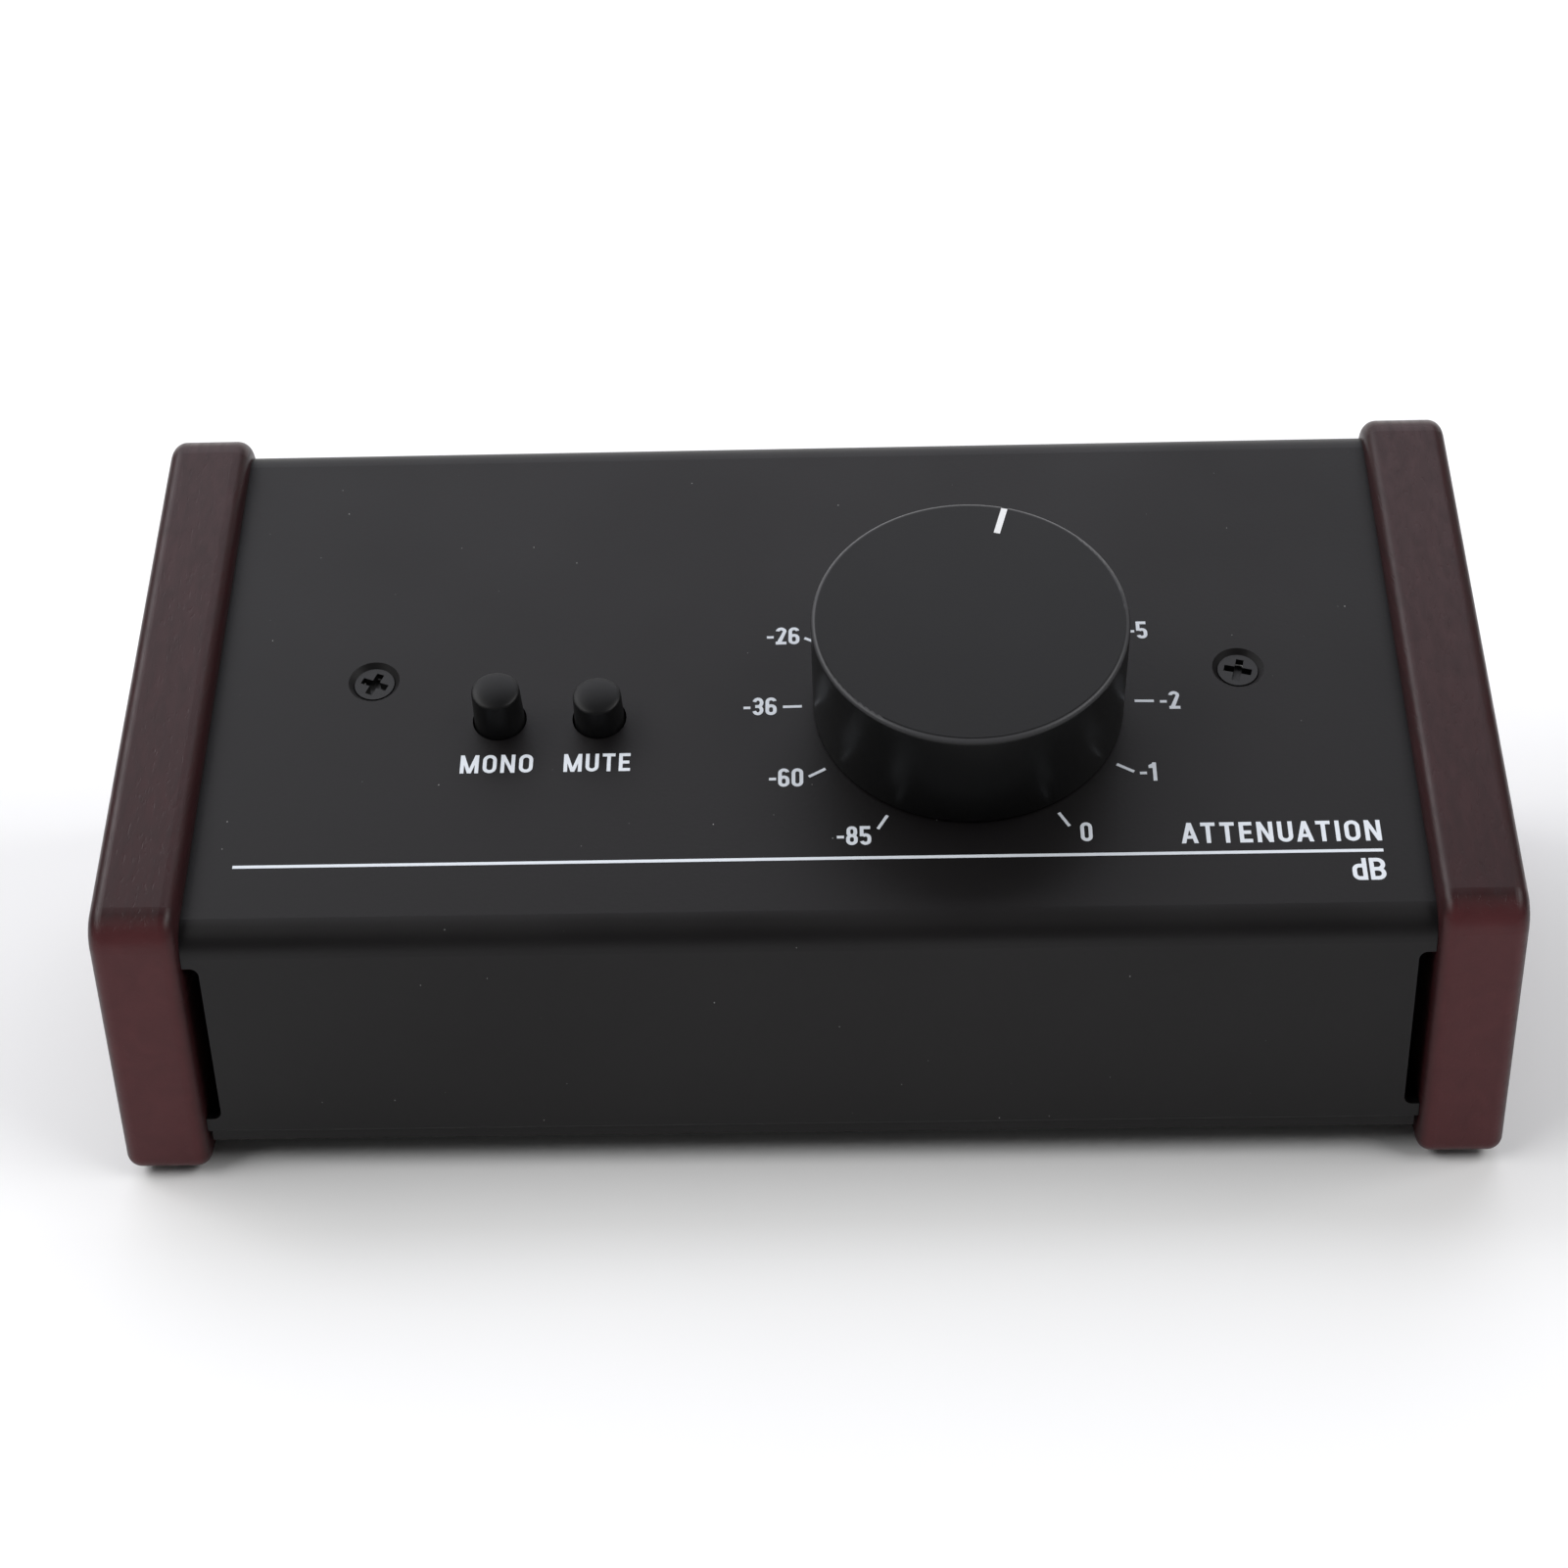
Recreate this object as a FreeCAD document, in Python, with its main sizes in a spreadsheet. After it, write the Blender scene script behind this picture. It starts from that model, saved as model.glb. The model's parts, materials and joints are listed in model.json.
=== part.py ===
import FreeCAD, Part
import os
import Sketcher

# Desktop monitor controller: a folded sheet cover with a sloped panel between two wooden cheeks,
# a large attenuator knob, two latching push switches, and four jack sockets in the rear wall.
#
# Frame: +X to the right, +Y to the rear, +Z up. The origin lies on the table, at the middle of the
# overall width and depth. Millimetres throughout.
#
# The panel has its own directions: "up" runs up the slope from the fold above the front wall, and
# "out" leaves the panel's outer face at a right angle.

os.makedirs("parts", exist_ok=True)
doc = FreeCAD.newDocument("monitor_controller")

# ---------------------------------------------------------------- driving dimensions

SIZES = [
    # folded cover
    ("chassis_width", 154.0),       # cover and base plate, between the cheeks
    ("chassis_depth", 82.15),       # front wall's outer face to rear wall's outer face
    ("front_wall", 30.4),           # lower edge to the fold above the front wall
    ("panel_slope", 18.5),          # degrees
    ("sheet", 1.5),                 # thickness of the cover's sheet
    ("panel_bend", 4.3),            # outside radius of the two folds beside the panel
    ("tight_bend", 0.3),            # inside radius of a tight fold
    ("lip_bend", 0.45),             # outside radius of the lips' folds, coined nearly sharp
    ("lip_width", 10.0),            # lips along the lower edges of front and rear wall
    ("notch_width", 2.0),           # slots at the ends of the walls
    ("notch_low", 2.2),             # lower edge of a wall to its slot
    ("notch_high", 4.5),            # fold above a wall to its slot
    ("notch_round", 1.1),
    ("overrun", 1.0),               # how far a cutting outline runs past the material
    # base tray and feet
    ("base_thickness", 1.5),
    ("base_inset", 0.4),            # tray's front and rear edges behind the cover's faces
    ("side_gap", 1.0),              # between the tray's sides and the cover's lips and panel
    ("side_corner", 3.0),           # cut across the upper corners of the tray's sides
    ("foot_height", 5.0),
    ("foot_radius", 6.2),
    ("foot_tip_radius", 5.3),
    ("foot_edge", 0.8),             # bevel round the tip
    ("foot_side", 14.0),            # foot centre to the base plate's side
    ("foot_end", 19.0),             # foot centre to the walls' outer faces
    # wooden cheeks
    ("cheek_thickness", 11.0),
    ("cheek_rise", 2.8),            # above the panel, at a right angle to it
    ("cheek_overhang", 1.45),       # past the front wall
    ("cheek_rear_overhang", 0.3),
    ("cheek_ground", 1.25),         # above the table
    ("cheek_corner", 5.0),          # rounding of the two upper corners, seen from the side
    ("cheek_round", 2.0),           # rounding of every other edge
    # wood screws through the base tray's sides
    ("wood_thread", 1.5),           # radius
    ("wood_head", 2.8),             # radius
    ("wood_head_height", 2.0),
    ("wood_length", 8.5),
    ("wood_inset", 18.0),           # screw axis to the wall's outer face
    ("wood_low", 8.0),              # lower screws above the walls' lower edge
    ("wood_front_high", 24.0),
    ("wood_rear_high", 40.0),
    # metric screws
    ("thread", 1.5),                # radius
    ("free_hole", 1.7),             # radius of a clearance hole
    ("fit_gap", 0.05),              # between a thread and its tapped hole, and in other close fits
    ("pan_head", 2.75),             # radius
    ("pan_height", 2.0),
    ("pan_rim", 0.9),               # straight edge of a pan head
    ("pan_crown", 0.62),            # flat top of a pan head over its full radius
    ("screw_point", 0.6),           # bevel at the end of a thread
    ("base_screw_length", 5.5),
    ("base_screw_side", 60.0),      # outer base screws from the middle
    ("base_screw_inset", 5.8),      # base screws behind the walls' outer faces
    ("board_screw_length", 6.0),
    ("panel_screw_length", 8.0),
    ("flat_head", 2.6),             # radius of a countersunk head
    ("flat_rim", 0.2),
    ("sink_radius", 3.35),          # countersink at the panel's outer face
    ("cross_arm", 1.8),             # cross recess, centre to end of arm
    ("cross_width", 1.0),
    ("cross_depth", 1.1),
    ("left_cross_turn", -22.0),     # degrees that each panel screw came to rest at
    ("right_cross_turn", -14.5),
    ("panel_screw_side", 56.3),
    ("panel_screw_up", 41.1),
    ("standoff_flats", 5.5),
    # control board, parallel to the panel
    ("board_depth", 15.5),          # panel's outer face to the board's upper face
    ("board_thickness", 1.6),
    ("board_margin", 3.0),          # board's edge past the outermost holes
    # push switches
    ("mono_x", -39.4),
    ("mute_x", -26.5),
    ("button_up", 34.3),
    ("button_hole", 3.5),           # radius
    ("cap_radius", 3.1),            # at the top
    ("cap_foot", 3.38),             # radius at the lower end
    ("cap_rise", 6.3),              # released cap above the panel
    ("cap_dome", 0.7),              # height of a cap's rounded top
    ("cap_clearance", 0.5),         # left above the switch's lid when a button is fully in
    ("cap_socket", 4.0),
    ("travel", 2.5),                # full stroke of a button
    ("latch_drop", 1.3),            # how far a latched button stays in
    ("switch_side", 8.5),
    ("switch_wall", 0.95),
    ("switch_lid", 0.8),
    ("stem_side", 3.3),
    ("stem_gap", 0.15),
    ("slider_side", 6.2),
    ("slider_height", 2.0),
    ("spring_room", 1.6),           # left for the spring when a button is fully in
    ("spring_wire", 0.15),          # radius
    ("spring_radius", 2.0),
    ("spring_turns", 4.0),
    # attenuator
    ("knob_x", 21.1),
    ("knob_up", 36.2),
    ("knob_radius", 20.0),
    ("knob_top", 16.0),
    ("knob_gap", 0.3),              # knob's lower face above the panel
    ("knob_edge", 0.7),             # rounding of the rim
    ("knob_recess", 9.5),           # radius of the room for the nut
    ("knob_recess_top", 4.6),
    ("pointer_angle", 15.0),        # degrees clockwise from straight up the panel
    ("pointer_start", 15.0),
    ("pointer_end", 0.5),           # paint's outer end to the knob's side
    ("pointer_width", 0.85),
    ("pointer_depth", 0.4),
    ("pointer_paint", 0.35),
    ("grub_height", 8.6),
    ("grub_length", 9.0),
    ("grub_hex", 1.5),
    ("shaft_radius", 3.0),
    ("shaft_top", 13.0),
    ("shaft_flat", 1.5),            # axis to the flat
    ("shaft_flat_start", 5.2),
    ("shaft_collar", 4.3),
    ("shaft_collar_height", 0.8),
    ("pivot_radius", 1.5),
    ("bush_radius", 4.5),
    ("bush_rise", 3.6),
    ("washer_radius", 7.5),
    ("washer_height", 0.6),
    ("nut_flats", 12.0),
    ("nut_height", 2.2),
    ("nut_bevel", 0.35),
    ("nut_bevel_slope", 30.0),      # degrees
    ("plate_side", 16.8),
    ("plate_thickness", 1.0),
    ("tab_distance", 7.4),          # anti-turn tab from the shaft
    ("tab_width", 2.0),
    ("tab_thickness", 0.9),
    ("gang_radius", 8.3),
    ("gang_height", 5.5),
    ("gang_wall", 1.2),
    ("gang_floor", 1.4),
    ("tongue_half", 7.0),
    ("tongue_length", 11.5),
    ("cover_thickness", 0.6),
    ("rotor_radius", 6.2),
    ("rotor_height", 1.2),
    ("wiper_width", 1.4),
    ("wiper_radius", 4.4),
    ("wiper_thickness", 0.25),
    ("terminal_pitch", 5.0),
    ("terminal_width", 0.9),
    ("terminal_thickness", 0.5),
    ("terminal_root", 10.0),
    ("terminal_front", 14.2),       # front gang's terminals from the shaft
    ("terminal_rear", 12.8),
    ("pin_tail", 1.2),              # pins past a board's far face
    ("pin_side", 0.7),
    ("pin_pitch", 3.2),
    ("pin_row", 5.0),
    ("pin_hole", 0.6),              # radius
    # summing resistors on the control board
    ("resistor_x", -5.0),
    ("resistor_up", 35.0),          # lowest of the row
    ("resistor_pitch", 3.0),
    ("resistor_radius", 1.15),
    ("resistor_length", 6.3),
    ("lead_pitch", 10.16),
    ("lead_side", 0.55),
    # jack sockets, axes along Y
    ("jack_pitch", 32.0),
    ("jack_height", 20.5),          # axis above the cover's lower edge
    ("jack_bore", 3.2),             # radius for a 6.35 mm plug
    ("jack_bush", 5.8),             # radius
    ("jack_bush_length", 3.0),      # past the rear wall
    ("jack_throat", 6.0),           # rear wall's outer face to the end of the round bore
    ("jack_depth", 28.0),           # rear wall's outer face to the housing's end
    ("jack_half_width", 7.9),
    ("jack_half_height", 7.5),
    ("jack_inner_side", 5.6),
    ("jack_inner_up", 5.4),
    ("jack_wall", 1.0),
    ("jack_tip_hole", 2.0),
    ("jack_hole", 6.0),
    ("jack_nut_flats", 14.0),
    ("jack_nut_height", 2.3),
    ("contact_width", 1.8),
    ("contact_thickness", 0.35),
    ("contact_reach", 9.0),
    ("contact_side", 2.3),
    ("contact_drop", 3.3),          # plug axis to a contact's leaf
    ("contact_slot", 0.25),
    ("tip_contact", 24.0),          # distance of each contact's leg from the rear wall
    ("ring_contact", 20.0),
    ("sleeve_contact", 8.5),
    # jack board and the ribbon between the boards
    ("jack_board_half_width", 64.0),
    ("jack_board_front", 30.0),     # rear wall's outer face to the board's front edge
    ("jack_board_rear", 2.0),
    ("header_width", 13.0),
    ("header_depth", 6.0),
    ("header_height", 4.6),
    ("header_up", 30.0),            # header under the control board, measured up the panel
    ("ribbon_width", 10.0),
    ("ribbon_thickness", 0.9),
    ("ribbon_bend", 3.6),
]

sheet = doc.addObject("Spreadsheet::Sheet", "Dim")
for row, (alias, value) in enumerate(SIZES, start=1):
    sheet.set(f"A{row}", alias)
    sheet.set(f"B{row}", str(value))
    sheet.setAlias(f"B{row}", alias)
doc.recompute()

RESISTORS = 4

# Places that several pieces share, as expressions over the sheet.
SLOPE = "Dim.panel_slope * 1 deg"
TURN = "Dim.pointer_angle * -1 deg"
REAR_OVER = "max(Dim.cheek_rear_overhang; Dim.jack_bush_length)"
FRONT = f"((Dim.cheek_overhang - Dim.chassis_depth - {REAR_OVER}) / 2)"
REAR = f"({FRONT} + Dim.chassis_depth)"
HALF = "(Dim.chassis_width / 2)"
BASE = "(Dim.foot_height + Dim.base_thickness)"
EDGE = f"({BASE} + Dim.front_wall)"
REAR_EDGE = f"({EDGE} + Dim.chassis_depth * tan({SLOPE}))"
BOARD = "Dim.board_depth"
BOARD_HALF = "(Dim.panel_screw_side + Dim.free_hole + Dim.board_margin)"
BOARD_LOW = "(Dim.knob_up - max(Dim.terminal_front; Dim.terminal_rear) - Dim.board_margin)"
RESISTOR_ROW = f"(Dim.resistor_up + {RESISTORS - 1} * Dim.resistor_pitch)"
BOARD_HIGH = f"(max({RESISTOR_ROW}; Dim.panel_screw_up + Dim.free_hole) + Dim.board_margin)"
JACK_Z = f"({BASE} + Dim.jack_height)"
JACK_FLOOR = f"({JACK_Z} - Dim.jack_half_height)"
JACK_PLACES = {"input_left": "-1.5", "input_right": "-0.5", "output_left": "0.5", "output_right": "1.5"}
SWITCH_TOP = ("(-Dim.board_depth + Dim.switch_wall + Dim.spring_room + Dim.travel + Dim.slider_height"
              " + Dim.stem_gap)")
CAP_LOW = f"({SWITCH_TOP} + Dim.switch_lid + Dim.travel + Dim.cap_clearance)"
SIDE_SCREWS = [
    (f"{FRONT} + Dim.wood_inset", f"{BASE} + Dim.wood_low"),
    (f"{FRONT} + Dim.wood_inset", f"{BASE} + Dim.wood_front_high"),
    (f"{REAR} - Dim.wood_inset", f"{BASE} + Dim.wood_low"),
    (f"{REAR} - Dim.wood_inset", f"{BASE} + Dim.wood_rear_high"),
]
BASE_SCREWS = [
    (side, wall)
    for side in ("-Dim.base_screw_side", "0", "Dim.base_screw_side")
    for wall in (f"{FRONT} + Dim.base_screw_inset", f"{REAR} - Dim.base_screw_inset")
]

X_AXIS = FreeCAD.Vector(1, 0, 0)
Y_AXIS = FreeCAD.Vector(0, 1, 0)
Z_AXIS = FreeCAD.Vector(0, 0, 1)
CLOSE = 1e-4
SPRING_STEPS = 12       # straight pieces in each turn of a spring
SPRING_SIDES = 6        # sides of its wire
SHARP_JOINTS = 1        # mitred joints between the pieces of a swept path
# Jack contacts: name, side of the plug, a leg's distance from the rear wall, way that the leaf leans.
CONTACTS = (
    ("tip", 1, "Dim.tip_contact", 1),
    ("ring", -1, "Dim.ring_contact", 1),
    ("sleeve", 1, "Dim.sleeve_contact", -1),
)
nodes = []


# ---------------------------------------------------------------- modelling helpers

def fail_if_bad(item):
    """Stop when the document left an object failed, empty or invalid."""
    if "Invalid" in item.State or "Error" in item.State:
        raise RuntimeError(f"{item.Label} failed: {item.State}")
    if item.Shape.isNull() or not item.Shape.isValid():
        raise RuntimeError(f"{item.Label} has no valid shape")


def keep(item, label):
    """Name an object as one of the assembly's nodes."""
    item.Label = label
    nodes.append(item)
    return item


def new_body(name):
    body = doc.addObject("PartDesign::Body", name)
    body.Label = name
    return body


def place(item, x="0", y="0", z="0"):
    item.setExpression("Placement.Base.x", x)
    item.setExpression("Placement.Base.y", y)
    item.setExpression("Placement.Base.z", z)


def turn_about_x(item, angle):
    item.Placement = FreeCAD.Placement(FreeCAD.Vector(), FreeCAD.Rotation(X_AXIS, 1))
    item.setExpression("Placement.Rotation.Angle", angle)


def place_on_panel(item, x="0", up="0", out="0"):
    """Put an object's own XY plane on the panel, x along the panel, up the slope and out of it."""
    turn_about_x(item, SLOPE)
    y = f"{FRONT} + ({up}) * cos({SLOPE}) - ({out}) * sin({SLOPE})"
    z = f"{EDGE} + ({up}) * sin({SLOPE}) + ({out}) * cos({SLOPE})"
    place(item, x, y, z)


def place_on_jack(item, side):
    """Put an object's own Z axis along a jack socket, with its Y axis down."""
    turn_about_x(item, "-90 deg")
    place(item, f"({side}) * Dim.jack_pitch", REAR, JACK_Z)


def new_sketch(body, role, name, x="0", y="0", z="0", turn=None):
    """Sketch on one of the body's origin planes, moved and turned within that plane's frame."""
    sketch = body.newObject("Sketcher::SketchObject", name)
    plane = next(item for item in body.Origin.OriginFeatures if item.Role == role)
    sketch.AttachmentSupport = [(plane, "")]
    sketch.MapMode = "FlatFace"
    if turn:
        axis, angle = turn
        sketch.AttachmentOffset = FreeCAD.Placement(FreeCAD.Vector(), FreeCAD.Rotation(axis, 1))
        sketch.setExpression("AttachmentOffset.Rotation.Angle", angle)
    sketch.setExpression("AttachmentOffset.Base.x", x)
    sketch.setExpression("AttachmentOffset.Base.y", y)
    sketch.setExpression("AttachmentOffset.Base.z", z)
    return sketch


def fix_point(sketch, geometry, point, x, y):
    """Hold a point at its two distances from the sketch's origin."""
    for kind, value in (("DistanceX", x), ("DistanceY", y)):
        number = sketch.addConstraint(Sketcher.Constraint(kind, -1, 1, geometry, point, 1.0))
        sketch.setExpression(f"Constraints[{number}]", value)


def add_polygon(sketch, corners):
    """Closed outline. The corners start round a circle, and their two distances then fix them."""
    first = sketch.GeometryCount
    count = len(corners)
    wheel = [FreeCAD.Rotation(Z_AXIS, 360.0 * k / count).multVec(X_AXIS) for k in range(count)]
    for k in range(count):
        sketch.addGeometry(Part.LineSegment(wheel[k], wheel[(k + 1) % count]))
    for k in range(count):
        sketch.addConstraint(Sketcher.Constraint("Coincident", first + k, 2, first + (k + 1) % count, 1))
    for k, (x, y) in enumerate(corners):
        fix_point(sketch, first + k, 1, x, y)


def add_box(sketch, x0, y0, x1, y1):
    add_polygon(sketch, [(x0, y0), (x1, y0), (x1, y1), (x0, y1)])


def add_square(sketch, side):
    add_box(sketch, f"-({side}) / 2", f"-({side}) / 2", f"({side}) / 2", f"({side}) / 2")


def add_hexagon(sketch, flats):
    add_polygon(sketch, [(f"{flats} / sqrt(3) * cos({60 * k} deg)", f"{flats} / sqrt(3) * sin({60 * k} deg)")
                         for k in range(6)])


def add_circle(sketch, radius, x="0", y="0"):
    number = sketch.addGeometry(Part.Circle(FreeCAD.Vector(), Z_AXIS, 1.0))
    size = sketch.addConstraint(Sketcher.Constraint("Radius", number, 1.0))
    sketch.setExpression(f"Constraints[{size}]", radius)
    fix_point(sketch, number, 3, x, y)


def pad(body, sketch, length, backward=False, both_ways=False):
    feature = body.newObject("PartDesign::Pad", sketch.Name + "_pad")
    feature.Profile = sketch
    feature.setExpression("Length", length)
    feature.Reversed = backward
    if both_ways:
        feature.SideType = "Symmetric"
    doc.recompute()
    fail_if_bad(feature)
    return feature


def cut(body, sketch, length, forward=False, both_ways=False, taper=0):
    """Pocket that must take material away. It runs against the sketch's normal unless forward."""
    before = body.Shape.Volume
    feature = body.newObject("PartDesign::Pocket", sketch.Name + "_cut")
    feature.Profile = sketch
    feature.setExpression("Length", length)
    feature.Reversed = forward
    feature.TaperAngle = taper
    if both_ways:
        feature.SideType = "Symmetric"
    doc.recompute()
    fail_if_bad(feature)
    if body.Shape.Volume > before - CLOSE:
        raise RuntimeError(f"{feature.Label} cuts nothing")
    return feature


def revolve(body, sketch):
    feature = body.newObject("PartDesign::Revolution", sketch.Name + "_turned")
    feature.Profile = sketch
    feature.ReferenceAxis = (sketch, ["V_Axis"])
    feature.Angle = 360
    doc.recompute()
    fail_if_bad(feature)
    return feature


def corner_edges(body, sketch, corners):
    """Names of the straight edges that stand on or cross a sketch's plane at the given corners."""
    doc.recompute()
    normal = sketch.Placement.Rotation.multVec(Z_AXIS)
    names = []
    for corner in corners:
        point = sketch.Placement.multVec(sketch.Geometry[corner].StartPoint)
        for number, edge in enumerate(body.Tip.Shape.Edges, start=1):
            if not isinstance(edge.Curve, Part.Line):
                continue
            if edge.Curve.Direction.cross(normal).Length > CLOSE:
                continue
            ends = [vertex.Point - point for vertex in edge.Vertexes]
            heights = [end.dot(normal) for end in ends]
            on_line = ends[0].cross(normal).Length < CLOSE
            if on_line and min(heights) < CLOSE and max(heights) > -CLOSE:
                names.append(f"Edge{number}")
    return names


def add_dome(body, name, radius, height, foot):
    """Upper half of a flattened ball, on top of a round body."""
    dome = body.newObject("PartDesign::AdditiveEllipsoid", name)
    dome.Angle1 = 0
    dome.setExpression("Radius1", height)
    dome.setExpression("Radius2", radius)
    dome.setExpression("Radius3", radius)
    dome.setExpression("Placement.Base.z", foot)
    doc.recompute()
    fail_if_bad(dome)


def circle_edges(body, centre_height, radius):
    """Names of the full circles of one radius at one height in the body's own frame."""
    names = []
    for number, edge in enumerate(body.Tip.Shape.Edges, start=1):
        if isinstance(edge.Curve, Part.Circle) and abs(edge.Curve.Radius - radius) < CLOSE:
            if abs(edge.Curve.Center.z - centre_height) < CLOSE:
                names.append(f"Edge{number}")
    return names


def flat_edges(body):
    """Names of the edges that lie across the body's X axis, straight or curved."""
    edges = enumerate(body.Tip.Shape.Edges, start=1)
    return [f"Edge{number}" for number, edge in edges if edge.BoundBox.XLength < CLOSE]


def soften(body, kind, edges, size, name):
    """Fillet or chamfer over the named edges of the body's last feature."""
    base = body.Tip
    feature = body.newObject(f"PartDesign::{kind}", name)
    feature.Base = (base, edges)
    feature.setExpression("Radius" if kind == "Fillet" else "Size", size)
    body.Tip = feature
    doc.recompute()
    fail_if_bad(feature)
    return feature


def group(label, items):
    """Several alike solids as one node."""
    item = doc.addObject("Part::Compound", label)
    item.Links = items
    return keep(item, label)


def copy_of(body, name):
    link = doc.addObject("App::Link", name)
    link.LinkedObject = body
    return link


# ---------------------------------------------------------------- folded cover

def make_cover():
    """One sheet: front wall, sloped panel, rear wall and the lips below the walls."""
    body = new_body("top_cover")
    wall = "Dim.sheet"
    inner_front = f"{EDGE} + {wall} * tan({SLOPE}) - {wall} / cos({SLOPE})"
    inner_rear = f"{REAR_EDGE} - {wall} * tan({SLOPE}) - {wall} / cos({SLOPE})"
    section = new_sketch(body, "YZ_Plane", "cover_section")
    add_polygon(section, [
        (f"{FRONT} + Dim.lip_width", BASE),
        (FRONT, BASE),
        (FRONT, EDGE),
        (REAR, REAR_EDGE),
        (REAR, BASE),
        (f"{REAR} - Dim.lip_width", BASE),
        (f"{REAR} - Dim.lip_width", f"{BASE} + {wall}"),
        (f"{REAR} - {wall}", f"{BASE} + {wall}"),
        (f"{REAR} - {wall}", inner_rear),
        (f"{FRONT} + {wall}", inner_front),
        (f"{FRONT} + {wall}", f"{BASE} + {wall}"),
        (f"{FRONT} + Dim.lip_width", f"{BASE} + {wall}"),
    ])
    pad(body, section, "Dim.chassis_width", both_ways=True)
    soften(body, "Fillet", corner_edges(body, section, (8, 9)), f"Dim.panel_bend - {wall}",
           "panel_fold_inside")
    soften(body, "Fillet", corner_edges(body, section, (2, 3)), "Dim.panel_bend", "panel_fold_outside")
    soften(body, "Fillet", corner_edges(body, section, (1, 4)), "Dim.lip_bend", "lip_fold_outside")
    soften(body, "Fillet", corner_edges(body, section, (7, 10)), "Dim.tight_bend", "lip_fold_inside")
    cut_notches(body)
    cut_panel_holes(body)
    cut_wall_holes(body)
    return keep(body, "top_cover")


def cut_notches(body):
    """Slots at both ends of the front and rear walls, open towards the cheeks."""
    for name, face, inward, fold in (("front", FRONT, 1, EDGE), ("rear", REAR, -1, REAR_EDGE)):
        notch = new_sketch(body, "XZ_Plane", f"{name}_notches", z=f"-{face}")
        low = f"{BASE} + Dim.notch_low"
        high = f"{fold} - Dim.notch_high"
        for side in ("-", ""):
            add_box(notch, f"{side}({HALF} - Dim.notch_width)", low, f"{side}({HALF} + Dim.overrun)", high)
        cut(body, notch, "2 * Dim.sheet", forward=inward < 0)
        corners = corner_edges(body, notch, (0, 3, 4, 7))
        soften(body, "Fillet", corners, "Dim.notch_round", f"{name}_notch_rounds")


def cut_panel_holes(body):
    """Holes through the sloped panel: attenuator, its anti-turn tab, two buttons, two screws."""
    panel = dict(y=FRONT, z=EDGE, turn=(X_AXIS, SLOPE))
    holes = new_sketch(body, "XY_Plane", "panel_holes", **panel)
    add_circle(holes, "Dim.bush_radius + Dim.fit_gap", "Dim.knob_x", "Dim.knob_up")
    tab_x = "Dim.knob_x - Dim.tab_distance"
    half = "(Dim.tab_width / 2 + Dim.stem_gap)"
    thick = "(Dim.tab_thickness / 2 + Dim.stem_gap)"
    add_box(holes, f"{tab_x} - {thick}", f"Dim.knob_up - {half}",
            f"{tab_x} + {thick}", f"Dim.knob_up + {half}")
    for x in ("Dim.mono_x", "Dim.mute_x"):
        add_circle(holes, "Dim.button_hole", x, "Dim.button_up")
    cut(body, holes, "2 * Dim.sheet")
    sinks = new_sketch(body, "XY_Plane", "panel_countersinks", **panel)
    for side in ("-", ""):
        add_circle(sinks, "Dim.sink_radius", f"{side}Dim.panel_screw_side", "Dim.panel_screw_up")
    cut(body, sinks, "Dim.sheet", taper=-45)


def cut_wall_holes(body):
    """Jack holes in the rear wall and tapped holes in the lips."""
    jacks = new_sketch(body, "XZ_Plane", "jack_holes", z=f"-{REAR}")
    for side in JACK_PLACES.values():
        add_circle(jacks, "Dim.jack_hole", f"{side} * Dim.jack_pitch", JACK_Z)
    cut(body, jacks, "2 * Dim.sheet", forward=True)
    lips = new_sketch(body, "XY_Plane", "lip_holes", z=BASE)
    for x, y in BASE_SCREWS:
        add_circle(lips, "Dim.thread + Dim.fit_gap", x, y)
    cut(body, lips, "2 * Dim.sheet", forward=True)


# ---------------------------------------------------------------- base tray, feet, cheeks

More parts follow.
